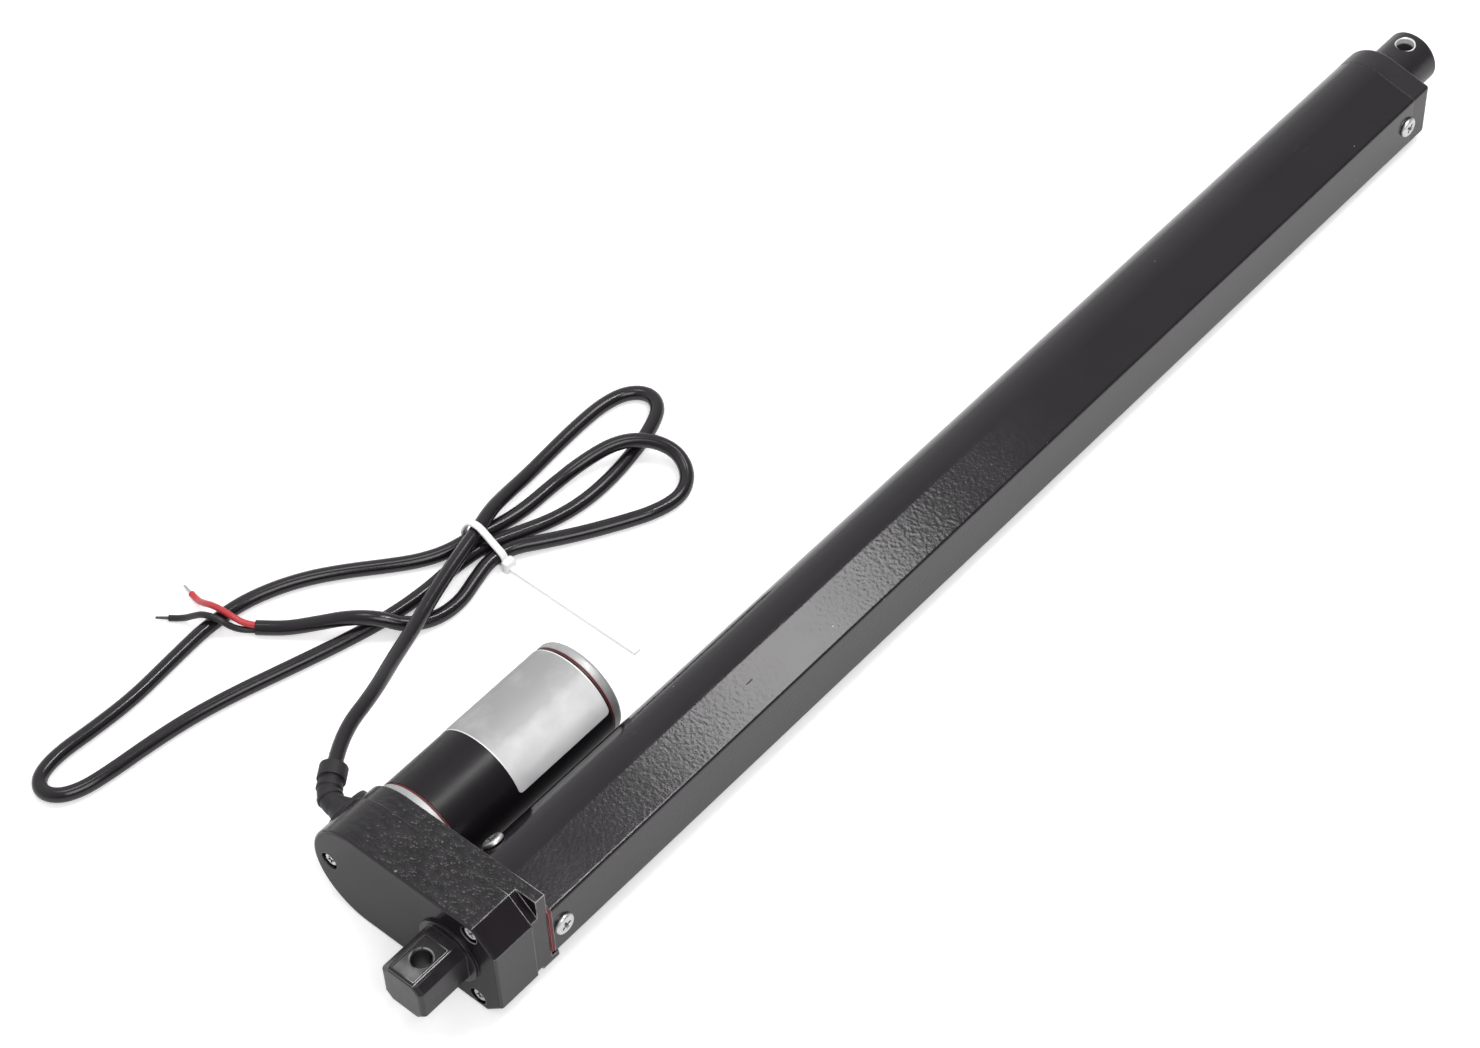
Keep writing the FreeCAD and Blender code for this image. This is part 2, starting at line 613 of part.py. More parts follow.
def spur_gear(teeth, x0, x1, y, phase):
    """An involute spur gear about an axis along X, with a tooth at the phase angle."""
    pitch_r = PITCH_R[teeth]
    base_r = pitch_r * math.cos(PRESSURE_ANGLE)
    tip_r = pitch_r + ADDENDUM * MODULE
    root_r = pitch_r - DEDENDUM * MODULE
    half = (math.pi * MODULE / 2 - TOOTH_THINNING) / (2 * pitch_r) + involute(base_r, pitch_r)
    start_r = max(base_r, root_r)
    flank = [start_r, (start_r + tip_r) / 2, tip_r]
    spread = [half - involute(base_r, r) for r in flank]
    step = 2 * math.pi / teeth

    def point(r, a):
        return V(x0, y + r * math.cos(a), r * math.sin(a))

    edges = []
    for i in range(teeth):
        a = phase + i * step
        rise = [point(r, a - s) for r, s in zip(flank, spread)]
        fall = [point(r, a + s) for r, s in zip(flank, spread)][::-1]
        foot = point(root_r, a - spread[0])
        heel = point(root_r, a + spread[0])
        next_foot = point(root_r, a + step - spread[0])
        if root_r < start_r:
            edges += [line(foot, rise[0]), arc(*rise)]
        else:
            edges.append(arc(*rise))
        edges += [line(rise[2], fall[0]), arc(*fall)]
        if root_r < start_r:
            edges.append(line(fall[2], heel))
        edges.append(line(heel, next_foot))
    return Part.Face(Part.Wire(edges)).extrude(V(x1 - x0, 0, 0))


def output_gear():
    """The gear on the screw, with a hub that bears on the bearing's inner ring."""
    gear = spur_gear(OUTPUT_TEETH, OUTPUT_GEAR_X, OUTPUT_GEAR_X1, 0, 0)
    hub = rod_x(BEARING_BORE_R + BEARING_RING_T / 2, OUTPUT_GEAR_X1, SEAM_X)
    return one(gear.fuse(hub).cut(rod_x(GEAR_SEAT_R + FIT, OUTPUT_GEAR_X, SEAM_X)))


def idler_gear():
    """Two gears in one moulding on a pin: the large one meets the pinion, the small one the screw's gear."""
    big = spur_gear(IDLER_BIG_TEETH, FIRST_STAGE_X, FIRST_STAGE_X1, IDLER_Y, 0)
    small_phase = math.pi + math.pi / IDLER_SMALL_TEETH
    small = spur_gear(IDLER_SMALL_TEETH, FIRST_STAGE_X1, OUTPUT_GEAR_X1, IDLER_Y, small_phase)
    bore = rod_x(IDLER_PIN_R + RUN, FIRST_STAGE_X, OUTPUT_GEAR_X1, IDLER_Y)
    return one(big.fuse(small).cut(bore))


def idler_pin():
    return rod_x(IDLER_PIN_R, COVER_INNER_X - PIN_SEAT_COVER, SEAM_X + PIN_SEAT_HOUSING, IDLER_Y)


def motor_pinion():
    phase = math.pi + math.pi / PINION_TEETH
    gear = spur_gear(PINION_TEETH, FIRST_STAGE_X, FIRST_STAGE_X1, MOTOR_Y, phase)
    return one(gear.cut(rod_x(MOTOR_SHAFT_R + FIT, FIRST_STAGE_X, FIRST_STAGE_X1, MOTOR_Y)))


def motor_shaft():
    return rod_x(MOTOR_SHAFT_R, FIRST_STAGE_X, END_CAP_X1 - SLIDE, MOTOR_Y)


def motor_rear_bell():
    """The bright end of the motor by the gearbox, with a boss that carries the rear bush."""
    disc = rod_x(MOTOR_R, HOUSING_X, BELL_X1, MOTOR_Y)
    boss = rod_x(BELL_BOSS_R, HOUSING_X - BELL_BOSS_L, HOUSING_X, MOTOR_Y)
    shape = disc.fuse(boss)
    bush_x = HOUSING_X - BELL_BOSS_L
    shape = shape.cut(rod_x(MOTOR_BUSH_R + FIT, bush_x, bush_x + MOTOR_BUSH_L, MOTOR_Y))
    shape = shape.cut(rod_x(MOTOR_SHAFT_R + SLIDE, HOUSING_X, BELL_X1, MOTOR_Y))
    for sign in (1, -1):
        z = sign * MOTOR_SCREW_PITCH
        shape = shape.cut(rod_x(SCREW_SHANK_R + FIT, HOUSING_X, BELL_X1, MOTOR_Y, z))
    return one(shape)


def motor_front_cap():
    """The bright far end of the motor: a dished cap with a boss for the front bush."""
    cap = rod_x(MOTOR_R, END_CAP_X, END_CAP_X1, MOTOR_Y)
    cap = cap.makeFillet(END_CAP_ROUND, edges_at_x(cap, END_CAP_X1))
    shape = cap.fuse(rod_x(END_CAP_BOSS_R, END_CAP_X1, END_CAP_X1 + END_CAP_BOSS_L, MOTOR_Y))
    return one(shape.cut(rod_x(MOTOR_BUSH_R + FIT, END_CAP_X, END_CAP_X1, MOTOR_Y)))


def motor_bushes():
    rear_x = HOUSING_X - BELL_BOSS_L
    rear = ring_x(MOTOR_BUSH_R, MOTOR_SHAFT_R + RUN, rear_x, rear_x + MOTOR_BUSH_L, MOTOR_Y)
    front = ring_x(MOTOR_BUSH_R, MOTOR_SHAFT_R + RUN, END_CAP_X, END_CAP_X1, MOTOR_Y)
    return group([rear, front])


def motor_sleeve():
    return ring_x(MOTOR_R, SLEEVE_BORE_R, SLEEVE_X, SLEEVE_X1, MOTOR_Y)


def motor_gaskets():
    r = MOTOR_R - MOTOR_GASKET_INSET
    rear = ring_x(r, SLEEVE_BORE_R, BELL_X1, SLEEVE_X, MOTOR_Y)
    front = ring_x(r, SLEEVE_BORE_R, SLEEVE_X1, END_CAP_X, MOTOR_Y)
    return group([rear, front])


def motor_magnets():
    """Two arc magnets on the sleeve's inside, above and below the armature."""
    outer = SLEEVE_BORE_R - FIT
    half = outer * math.cos(math.radians(MAGNET_ARC / 2))
    ring = ring_x(outer, outer - MAGNET_T, MAGNET_X, MAGNET_X1, MOTOR_Y)
    return group([ring.cut(block(MAGNET_X, MAGNET_X1, MOTOR_Y - outer, MOTOR_Y + outer, -half, half))])


def armature_core():
    """A slotted stack of laminations on the shaft."""
    core = ring_x(ARMATURE_R, MOTOR_SHAFT_R + FIT, ARMATURE_X, ARMATURE_X1, MOTOR_Y)
    half = SLOT_WIDTH / 2
    for i in range(ARMATURE_SLOTS):
        slot = block(ARMATURE_X, ARMATURE_X1, ARMATURE_R - SLOT_DEPTH, ARMATURE_R + 1, -half, half)
        slot.rotate(V(0, 0, 0), V(1, 0, 0), 360.0 * i / ARMATURE_SLOTS)
        core = core.cut(slot.translated(V(0, MOTOR_Y, 0)))
    return one(core)


def armature_winding():
    """The two overhanging ends of the coils."""
    r = ARMATURE_R * COIL_SHARE
    rear = ring_x(r, MOTOR_SHAFT_R + FIT, ARMATURE_X - COIL_END_L, ARMATURE_X, MOTOR_Y)
    front = ring_x(r, MOTOR_SHAFT_R + FIT, ARMATURE_X1, COMMUTATOR_X, MOTOR_Y)
    return group([rear, front])


def commutator():
    return ring_x(COMMUTATOR_R, MOTOR_SHAFT_R + FIT, COMMUTATOR_X, COMMUTATOR_X + COMMUTATOR_L, MOTOR_Y)


def brush_plate_x():
    return COMMUTATOR_X + COMMUTATOR_L / 2 + BRUSH_SIZE / 2


def brush_holder():
    """The insulating plate in the sleeve that carries the brushes."""
    x0 = brush_plate_x()
    return ring_x(SLEEVE_BORE_R - FIT, COMMUTATOR_R + SLIDE, x0, x0 + BRUSH_PLATE_T, MOTOR_Y)


def brushes():
    """Two square brushes that face the commutator from opposite sides, on the brush plate."""
    x1 = brush_plate_x()
    half = BRUSH_SIZE / 2
    inner = COMMUTATOR_R + BRUSH_GAP
    outer = SLEEVE_BORE_R - BRUSH_END_GAP
    return group([
        block(x1 - BRUSH_SIZE, x1, MOTOR_Y + inner, MOTOR_Y + outer, -half, half),
        block(x1 - BRUSH_SIZE, x1, MOTOR_Y - outer, MOTOR_Y - inner, -half, half),
    ])


def switch_board():
    """The long circuit strip on the channel's wall."""
    x0 = SPIGOT_X + BOARD_END_GAP
    x1 = FRONT_SPIGOT_X - BOARD_END_GAP
    return block(x0, x1, CHANNEL_Y, CHANNEL_Y + BOARD_T, -BOARD_HEIGHT / 2, BOARD_HEIGHT / 2)


def limit_switches():
    """Two flat switches on the strip, where the nut's lug stands at each end of the stroke."""
    y0 = CHANNEL_Y + BOARD_T
    half = SWITCH_HEIGHT / 2
    start = NUT_X + (NUT_FLANGE_L - SWITCH_L) / 2
    return group([block(x, x + SWITCH_L, y0, y0 + SWITCH_T, -half, half) for x in (start, start + STROKE)])


def cover_screws():
    sink_x = CLEVIS_REACH + COVER_SCREW_SUNK
    screw = small_screw(SEAM_X + COVER_SCREW_BITE - sink_x)
    return group([aimed(screw, V(sink_x, y, z), V(-1, 0, 0)) for y, z in COVER_SCREWS])


def tube_screws():
    screw = pan_screw(SIDE_HEAD_R, SIDE_HEAD_H, SIDE_HEAD_ROUND, SIDE_SHANK_R, SIDE_SCREW_L)
    return group([aimed(screw, place, direction) for place, direction in side_screw_places()])


def motor_screws():
    screw = small_screw(HOUSING_L + BELL_L)
    places = [V(SEAM_X, MOTOR_Y, sign * MOTOR_SCREW_PITCH) for sign in (1, -1)]
    return group([aimed(screw, place, V(-1, 0, 0)) for place in places])


def boot_path():
    """The strain relief's middle line: out of the gearbox's side, then round towards the front."""
    turn = math.radians(BOOT_TURN)
    y0 = MOTOR_Y + GEARBOX_R
    a = V(SEAM_X, y0 - BOOT_NECK_L, 0)
    b = V(SEAM_X, y0 + BOOT_RISE, 0)
    centre = b + V(BOOT_BEND_R, 0, 0)

    def on_bend(angle):
        return centre + V(-math.cos(angle), math.sin(angle), 0) * BOOT_BEND_R

    c = on_bend(turn)
    ahead = V(math.sin(turn), math.cos(turn), 0)
    return a, b, on_bend(turn / 2), c, c + ahead * BOOT_TAIL, ahead


def strain_relief():
    """A rubber elbow with a saddle on the gearbox, a flared foot, two ribs and a collar."""
    a, b, middle, c, d, ahead = boot_path()
    out = V(0, 1, 0)
    foot_l = BOOT_NECK_L + BOOT_FOOT_L
    waist = a + out * foot_l
    reach_x = HOUSING_X + BOOT_FLANGE_R
    neck = Part.makeCylinder(BOOT_NECK_R, foot_l, a, out)
    saddle = Part.makeCylinder(BOOT_FLANGE_R, foot_l, a, out)
    saddle = saddle.common(rod_x(GEARBOX_R + BOOT_FLANGE_L, 0, reach_x, MOTOR_Y))
    saddle = saddle.fuse(Part.makeCone(BOOT_FLANGE_R, BOOT_WAIST_R, foot_l, a, out))
    saddle = saddle.cut(rod_x(GEARBOX_R, 0, SEAM_X, MOTOR_Y))
    saddle = saddle.cut(rod_x(GEARBOX_R - HOUSING_INSET, SEAM_X, reach_x, MOTOR_Y))
    stem = Part.makeCone(BOOT_WAIST_R, BOOT_R, BOOT_RISE - BOOT_FOOT_L, waist, out)
    profile = Part.Wire(Part.makeCircle(BOOT_R, waist, out))
    path = Part.Wire([line(waist, b), arc(b, middle, c), line(c, d)])
    shape = neck.fuse(saddle).fuse(stem).fuse(path.makePipeShell([profile], True, False))
    for centre, way in ((middle, middle_way()), (c, ahead)):
        shape = shape.fuse(Part.makeCylinder(BOOT_RIB_R, BOOT_RIB_T, centre - way * (BOOT_RIB_T / 2), way))
    collar = Part.makeCylinder(BOOT_COLLAR_R, BOOT_COLLAR_L, d - ahead * BOOT_COLLAR_L, ahead)
    return one(shape.fuse(collar))


def middle_way():
    """The direction of the strain relief half way round its bend."""
    half = math.radians(BOOT_TURN) / 2
    return V(math.sin(half), math.cos(half), 0)


def floor_z(x):
    """The height of the table, on which the gearbox's edge and the front cap lie."""
    return FLOOR_Z + max(0.0, x - SEAM_X) * FLOOR_SLOPE


def laid(points, radius):
    """Route points with heights above the table, as places of the middle line."""
    return [V(x, y, floor_z(x) + radius + height) for x, y, height in points]


def rounded_path(points):
    """Straight runs joined by tangent arcs, each as large as its two runs allow."""
    edges = []
    radii = []
    start = points[0]
    for before, corner, after in zip(points, points[1:], points[2:]):
        run = min((before - corner).Length, (after - corner).Length)
        bend, middle, end, radius = corner_arc(before, corner, after, BEND_SHARE * run)
        radii.append(radius)
        edges += [line(start, bend), arc(bend, middle, end)]
        start = end
    edges.append(line(start, points[-1]))
    return Part.Wire(edges), radii


def swept(name, points, radius):
    """A round solid along a rounded path, with its length and its tightest bends printed."""
    path, radii = rounded_path(points)
    profile = Part.Wire(Part.makeCircle(radius, points[0], points[1] - points[0]))
    solid = path.makePipeShell([profile], True, False)
    expected = math.pi * radius ** 2 * path.Length
    print(f"{name}: length {path.Length:.1f}, volume / expected {solid.Volume / expected:.4f}")
    print(f"{name}: radii", " ".join(f"{r:.0f}" for r in radii))
    return solid.Solids[0]


def cord():
    end, ahead = boot_path()[4:]
    return swept("cord", [end, end + ahead * CORD_LEAD] + laid(CORD_ROUTE, CORD_D / 2), CORD_D / 2)


def cord_core(name, route, side):
    """One insulated core, from inside the cord's cut end to its bare tip."""
    before, end = laid(CORD_ROUTE, CORD_D / 2)[-2:]
    ahead = (end - before).normalize()
    start = end + V(0, 0, side * CORE_SPREAD)
    return swept(name, [start - ahead * CORE_GRIP, start] + laid(route, CORE_D / 2), CORE_D / 2)


def wire_tips():
    """The bare strands at the end of each core."""
    tips = []
    for route in (RED_ROUTE, BLACK_ROUTE):
        before, end = laid(route, CORE_D / 2)[-2:]
        tips.append(Part.makeCylinder(TIP_R, TIP_L, end, end - before))
    return group(tips)


def cable_tie():
    """A band round the four strands, with a lock and a loose tail on the table."""
    r = CORD_D / 2 + TIE_GAP
    low = min(y for y, _ in TIE_STRANDS) - r
    high = max(y for y, _ in TIE_STRANDS) + r
    top_y, top = TIE_STRANDS[-1]
    table = floor_z(TIE_X)
    floor = table + TIE_T
    shoulder = floor + CORD_D
    crest = table + top + CORD_D + TIE_GAP
    right = [(high, floor), (high, shoulder), (top_y + r, crest)]
    left = [(top_y - r, crest), (low, shoulder), (low, floor)]
    points = [V(TIE_X - TIE_WIDTH / 2, y, z) for y, z in right + left]
    inside = Part.Face(Part.makePolygon(points + points[:1]))
    band = inside.makeOffset2D(TIE_T).cut(inside).extrude(V(TIE_WIDTH, 0, 0))
    half = TIE_HEAD / 2
    tail_y = low - TIE_T - half
    head = block(TIE_X - half, TIE_X + half, tail_y, low - TIE_T / 2, table, table + TIE_HEAD)
    wide = TIE_WIDTH / 2
    tail = block(TIE_X - wide, TIE_X + wide, tail_y - TIE_TAIL_L, tail_y, floor, floor + TIE_T)
    return one(band.fuse(head).fuse(tail))


PARTS = {
    "rear_clevis": rear_clevis,
    "gearbox_cover": gearbox_cover,
    "gearbox_housing": gearbox_housing,
    "tube_gasket": tube_gasket,
    "outer_tube": outer_tube,
    "front_cap": front_cap,
    "rod_bush": rod_bush,
    "wiper_seal": wiper_seal,
    "rod_tube": rod_tube,
    "rod_end": rod_end,
    "drive_nut": drive_nut,
    "lead_screw": lead_screw,
    "screw_retainer": screw_retainer,
    "bearing_outer_ring": bearing_outer_ring,
    "bearing_inner_ring": bearing_inner_ring,
    "bearing_balls": bearing_balls,
    "output_gear": output_gear,
    "idler_gear": idler_gear,
    "idler_pin": idler_pin,
    "motor_pinion": motor_pinion,
    "motor_shaft": motor_shaft,
    "motor_rear_bell": motor_rear_bell,
    "motor_front_cap": motor_front_cap,
    "motor_bushes": motor_bushes,
    "motor_sleeve": motor_sleeve,
    "motor_gaskets": motor_gaskets,
    "motor_magnets": motor_magnets,
    "armature_core": armature_core,
    "armature_winding": armature_winding,
    "commutator": commutator,
    "brush_holder": brush_holder,
    "brushes": brushes,
    "switch_board": switch_board,
    "limit_switches": limit_switches,
    "cover_screws": cover_screws,
    "tube_screws": tube_screws,
    "motor_screws": motor_screws,
    "strain_relief": strain_relief,
    "cord": cord,
    "red_core": lambda: cord_core("red core", RED_ROUTE, 1),
    "black_core": lambda: cord_core("black core", BLACK_ROUTE, -1),
    "wire_tips": wire_tips,
    "cable_tie": cable_tie,
}

os.makedirs("parts", exist_ok=True)
for node, make in PARTS.items():
    shape = make()
    if not shape.isValid():
        print("not valid:", node)
    shape.exportStep(f"parts/{node}.step")
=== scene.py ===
"""Looks of the electric linear actuator: finishes, cord, tie, screw heads and label plate, and the table,
light and camera that show it.

Metres, in the part's own frame: +X along the stroke, +Y to the motor, +Z up.
"""
import math

import bmesh
import bpy
from mathutils import Matrix, Vector


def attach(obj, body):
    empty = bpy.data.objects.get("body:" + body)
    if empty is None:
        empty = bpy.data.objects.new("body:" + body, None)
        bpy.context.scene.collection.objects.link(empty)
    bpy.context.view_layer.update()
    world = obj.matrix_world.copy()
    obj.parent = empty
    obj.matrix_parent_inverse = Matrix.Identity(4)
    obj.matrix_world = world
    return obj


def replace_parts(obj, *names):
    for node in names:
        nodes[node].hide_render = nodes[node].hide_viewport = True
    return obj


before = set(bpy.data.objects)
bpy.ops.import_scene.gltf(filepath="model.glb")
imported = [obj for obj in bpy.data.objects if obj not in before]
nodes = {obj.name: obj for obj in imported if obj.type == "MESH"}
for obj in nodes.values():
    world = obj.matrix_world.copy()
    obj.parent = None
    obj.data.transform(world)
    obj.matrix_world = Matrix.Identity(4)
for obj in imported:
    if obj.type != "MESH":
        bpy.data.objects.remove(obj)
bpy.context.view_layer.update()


def grey(value):
    return (value, value, value)


WHITE = grey(1.0)

# The photograph's view
PHOTO_WIDTH = 1480
SENSOR_WIDTH = 36.0
FOCAL_PX = 3739.8
VIEW_TARGET = Vector((0.1905, 0.0420, 0.0))
VIEW_DISTANCE = 1.2067
VIEW_AZIMUTH = math.radians(43.07)
VIEW_ELEVATION = math.radians(49.0)
VIEW_ROLL = math.radians(-3.01)

# The table, on which the gearbox's edge and the front cap lie
TABLE_X = 0.027
TABLE_Z = -0.020
TABLE_SLOPE = 0.0107991
TABLE_DROP = 0.0001
TABLE_REACH = 30.0
TABLE_PALES = ((0.83, 0.83, 0.832), grey(0.85))
TABLE_CLOUDS = 0.2
TABLE_ROUGH = 0.9
TABLE_LIFT = 0.45
TABLE_GLOSS_LIFT = 0.2

# The room's strength as a ramp on the direction's Y, and lamps as name, place, aim, width, depth and watts
ROOM_STRENGTH = (-0.75, 0.45, 0.23, 0.8)
LAMPS = [
    ("key_softbox", (0.634, -0.16, 0.913), (0.634, -0.16, 0.0), 0.19, 0.48, 2.1),
    ("fill_softbox", (-0.25, -0.8, 1.1), (0.1, 0.0, 0.0), 0.8, 0.8, 7.8),
    ("top_softbox", (0.15, 0.35, 1.45), (0.02, 0.02, 0.0), 0.4, 0.4, 2.2),
    ("streak_softbox", (0.422, -0.185, 0.917), (0.045, 0.03, 0.0175), 0.08, 0.2, 1.5),
]

# The motor
MOTOR_Y = 0.037
MOTOR_R = 0.0175

# The cord's route as x, y and the height of its underside above the table
CORD_D = 0.005
CORE_D = 0.0022
CORD_STEPS = 6
BOOT_END = Vector((0.036965, 0.074142, 0.0))
BOOT_AHEAD = Vector((0.81915, 0.57358, 0.0))
CORD_LEAD = 0.013
CORD_ROUTE = [
    (0.0670, 0.0870, 0.0144), (0.0830, 0.0950, 0.0088), (0.0980, 0.1007, 0.0060),
    (0.1120, 0.1054, 0.0060), (0.1260, 0.1094, 0.0060), (0.1400, 0.1126, 0.0063),
    (0.1500, 0.1160, 0.0056), (0.1600, 0.1186, 0.0026), (0.1720, 0.1202, 0.0004),
    (0.1860, 0.1216, 0.0000), (0.2000, 0.1224, 0.0000), (0.2120, 0.1222, 0.0000),
    (0.2210, 0.1194, 0.0000), (0.2254, 0.1130, 0.0000), (0.2226, 0.1064, 0.0000),
    (0.2140, 0.1024, 0.0000), (0.2030, 0.0998, 0.0000), (0.1900, 0.0979, 0.0000),
    (0.1760, 0.0977, 0.0000), (0.1630, 0.1004, 0.0000), (0.1510, 0.1054, 0.0006),
    (0.1400, 0.1098, 0.0013), (0.1280, 0.1118, 0.0006), (0.1150, 0.1120, 0.0000),
    (0.1000, 0.1138, 0.0000), (0.0830, 0.1182, 0.0000), (0.0640, 0.1244, 0.0000),
    (0.0460, 0.1304, 0.0000), (0.0300, 0.1346, 0.0000), (0.0140, 0.1370, 0.0000),
    (0.0000, 0.1384, 0.0000), (-0.0110, 0.1402, 0.0000), (-0.0180, 0.1442, 0.0000),
    (-0.0200, 0.1502, 0.0000), (-0.0156, 0.1550, 0.0000), (-0.0060, 0.1564, 0.0000),
    (0.0070, 0.1552, 0.0000), (0.0240, 0.1544, 0.0000), (0.0420, 0.1560, 0.0000),
    (0.0580, 0.1572, 0.0000), (0.0720, 0.1560, 0.0000), (0.0840, 0.1520, 0.0000),
    (0.0950, 0.1460, 0.0000), (0.1050, 0.1382, 0.0000), (0.1140, 0.1300, 0.0000),
    (0.1226, 0.1228, 0.0000), (0.1310, 0.1178, 0.0006), (0.1400, 0.1154, 0.0013),
    (0.1500, 0.1124, 0.0006), (0.1610, 0.1109, 0.0000), (0.1740, 0.1106, 0.0004),
    (0.1870, 0.1084, 0.0026), (0.1986, 0.1034, 0.0058), (0.2062, 0.0954, 0.0058),
    (0.2094, 0.0864, 0.0034), (0.2060, 0.0784, 0.0006), (0.1976, 0.0742, 0.0000),
    (0.1870, 0.0764, 0.0000), (0.1760, 0.0824, 0.0000), (0.1646, 0.0894, 0.0000),
    (0.1540, 0.0964, 0.0005), (0.1456, 0.1020, 0.0013), (0.1370, 0.1042, 0.0013),
    (0.1280, 0.1026, 0.0005), (0.1186, 0.1002, 0.0000), (0.1086, 0.1014, 0.0000),
    (0.0996, 0.1062, 0.0016), (0.0942, 0.1124, 0.0058), (0.0882, 0.1202, 0.0058),
    (0.0814, 0.1288, 0.0026), (0.0758, 0.1358, 0.0003), (0.0720, 0.1408, 0.0000),
    (0.0692, 0.1446, 0.0000),
]
RED_ROUTE = [
    (0.0672, 0.1476, 0.0031), (0.0659, 0.1506, 0.0049), (0.0651, 0.1542, 0.0062),
    (0.0645, 0.1590, 0.0062), (0.0648, 0.1644, 0.0030), (0.0659, 0.1690, 0.0000),
    (0.0666, 0.1724, 0.0000),
]
BLACK_ROUTE = [
    (0.0666, 0.1472, 0.0005), (0.0636, 0.1500, 0.0028), (0.0617, 0.1534, 0.0062),
    (0.0601, 0.1586, 0.0062), (0.0590, 0.1630, 0.0030), (0.0574, 0.1670, 0.0000),
    (0.0548, 0.1706, 0.0000),
]
CORE_SPREAD = 0.00115

# The bare strands past the cores
TIP_L = 0.0049
TIP_OVERLAP = 0.0005
STRANDS = 7
STRAND_R = 0.00019
STRAND_RING = 0.0004
STRAND_TAPER = 0.35
STRAND_TWIST = 5.0
STRAND_STEPS = 16

# The tie: across the cord's bundle as y and the height above the table
TIE_X = 0.140
TIE_WIDTH = 0.0026
TIE_T = 0.0010
TIE_CUT = 0.25
TIE_BAND = [
    (0.1037, 0.00052), (0.1095, 0.00052), (0.1156, 0.00052), (0.1183, 0.0016), (0.1190, 0.0038),
    (0.1184, 0.0064), (0.1166, 0.0098), (0.1150, 0.0116), (0.1126, 0.0124), (0.1100, 0.0118),
    (0.1068, 0.0095), (0.1033, 0.0072), (0.1012, 0.0060), (0.1001, 0.0038), (0.1009, 0.0014),
]
TIE_TAIL = [
    (0.0985, 0.0018), (0.0930, 0.0016), (0.0860, 0.0015), (0.0780, 0.0014), (0.0700, 0.0013),
    (0.0620, 0.0012), (0.0540, 0.0011), (0.0470, 0.0010), (0.0426, 0.0010),
]
TIE_LOCK_Y = 0.0989
TIE_LOCK_SIZE = (0.0046, 0.0028, 0.0046)
TIE_LOCK_ROUND = 0.0006

# Screws as seat, direction of the head, and turn of the recess
SIDE_SCREWS = [
    ((0.0392, -0.0194, 0.0), (0.0, -1.0, 0.0), 0.35),
    ((0.4790, -0.0194, 0.0), (0.0, -1.0, 0.0), 0.9),
    ((0.0424, 0.010607, 0.010607), (0.0, 0.70711, 0.70711), 0.5),
    ((0.0424, 0.010607, -0.010607), (0.0, 0.70711, -0.70711), 0.2),
]
COVER_SCREWS = [
    ((0.0135, 0.0503, 0.0), (-1.0, 0.0, 0.0), 0.3),
    ((0.0135, -0.0095, 0.0158), (-1.0, 0.0, 0.0), 0.75),
    ((0.0135, -0.0095, -0.0158), (-1.0, 0.0, 0.0), 0.1),
]
SIDE_HEAD = {
    "head_r": 0.0037, "head_h": 0.0015, "head_round": 0.0010, "shank_r": 0.0019, "length": 0.006,
    "span": 0.0044, "slot_width": 0.0011, "slot_depth": 0.0010,
}
SMALL_HEAD = {
    "head_r": 0.0028, "head_h": 0.0019, "head_round": 0.0011, "shank_r": 0.0015, "length": 0.0175,
    "span": 0.0034, "slot_width": 0.0009, "slot_depth": 0.0012,
}
HEAD_ARC_STEPS = 6
HEAD_STEPS = 48
RECESS_ABOVE = 0.0002

# The bare plate on the motor, its turn measured from +Y
LABEL_X = (0.0634, 0.1039)
LABEL_TURN = (-60.0, 164.5)
LABEL_R = (0.01752, 0.01765)
LABEL_CORNER = 0.0016
LABEL_STEPS = 120

# What the finishes share. A ramp is two values and the results at them, 0 and 1 where none are given.
EDGE_ROUND = 0.0003
EDGE_START = 0.985
EDGE_FULL = 0.85
COAT_EDGE_FULL = 0.95
WEAR_PATCHES = 0.005
BEVEL_SAMPLES = 6
AO_SAMPLES = 8
DRIFT_RANGE = (0.3, 0.7)
FLECK_REACH = 0.045
FLECK_CORE = 0.6
RING_BLUR = 0.00005

# Tube: dust as size of its cells, share of them and colour; nicks as size, share and reach
TUBE_EDGE_ROUND = 0.0006
TUBE_CLOUDS = 0.03
TUBE_BLACKS = ((0.0085, 0.0055, 0.0085), (0.013, 0.0098, 0.013))
TUBE_RUB_X = (0.14, 0.06)
TUBE_RUBS = ((0.06, 0.058, 0.06), grey(0.5))
TUBE_RUB_SHARE = 0.6
TUBE_DUST = (0.007, 0.3, grey(0.24))
TUBE_PEEL_SIZE = 0.0013
TUBE_PEEL_DEPTH = 0.000045
TUBE_NICKS = (0.014, 0.07, 0.13)
TUBE_NICK_STRETCH = (1.0, 8.0, 1.0)
TUBE_NICK_TURN = (0.0, 0.0, 0.7)
TUBE_NICK_DEPTH = 0.0002
TUBE_NICK_ROUGH = 0.3
TUBE_ROUGH = (0.11, 0.15)

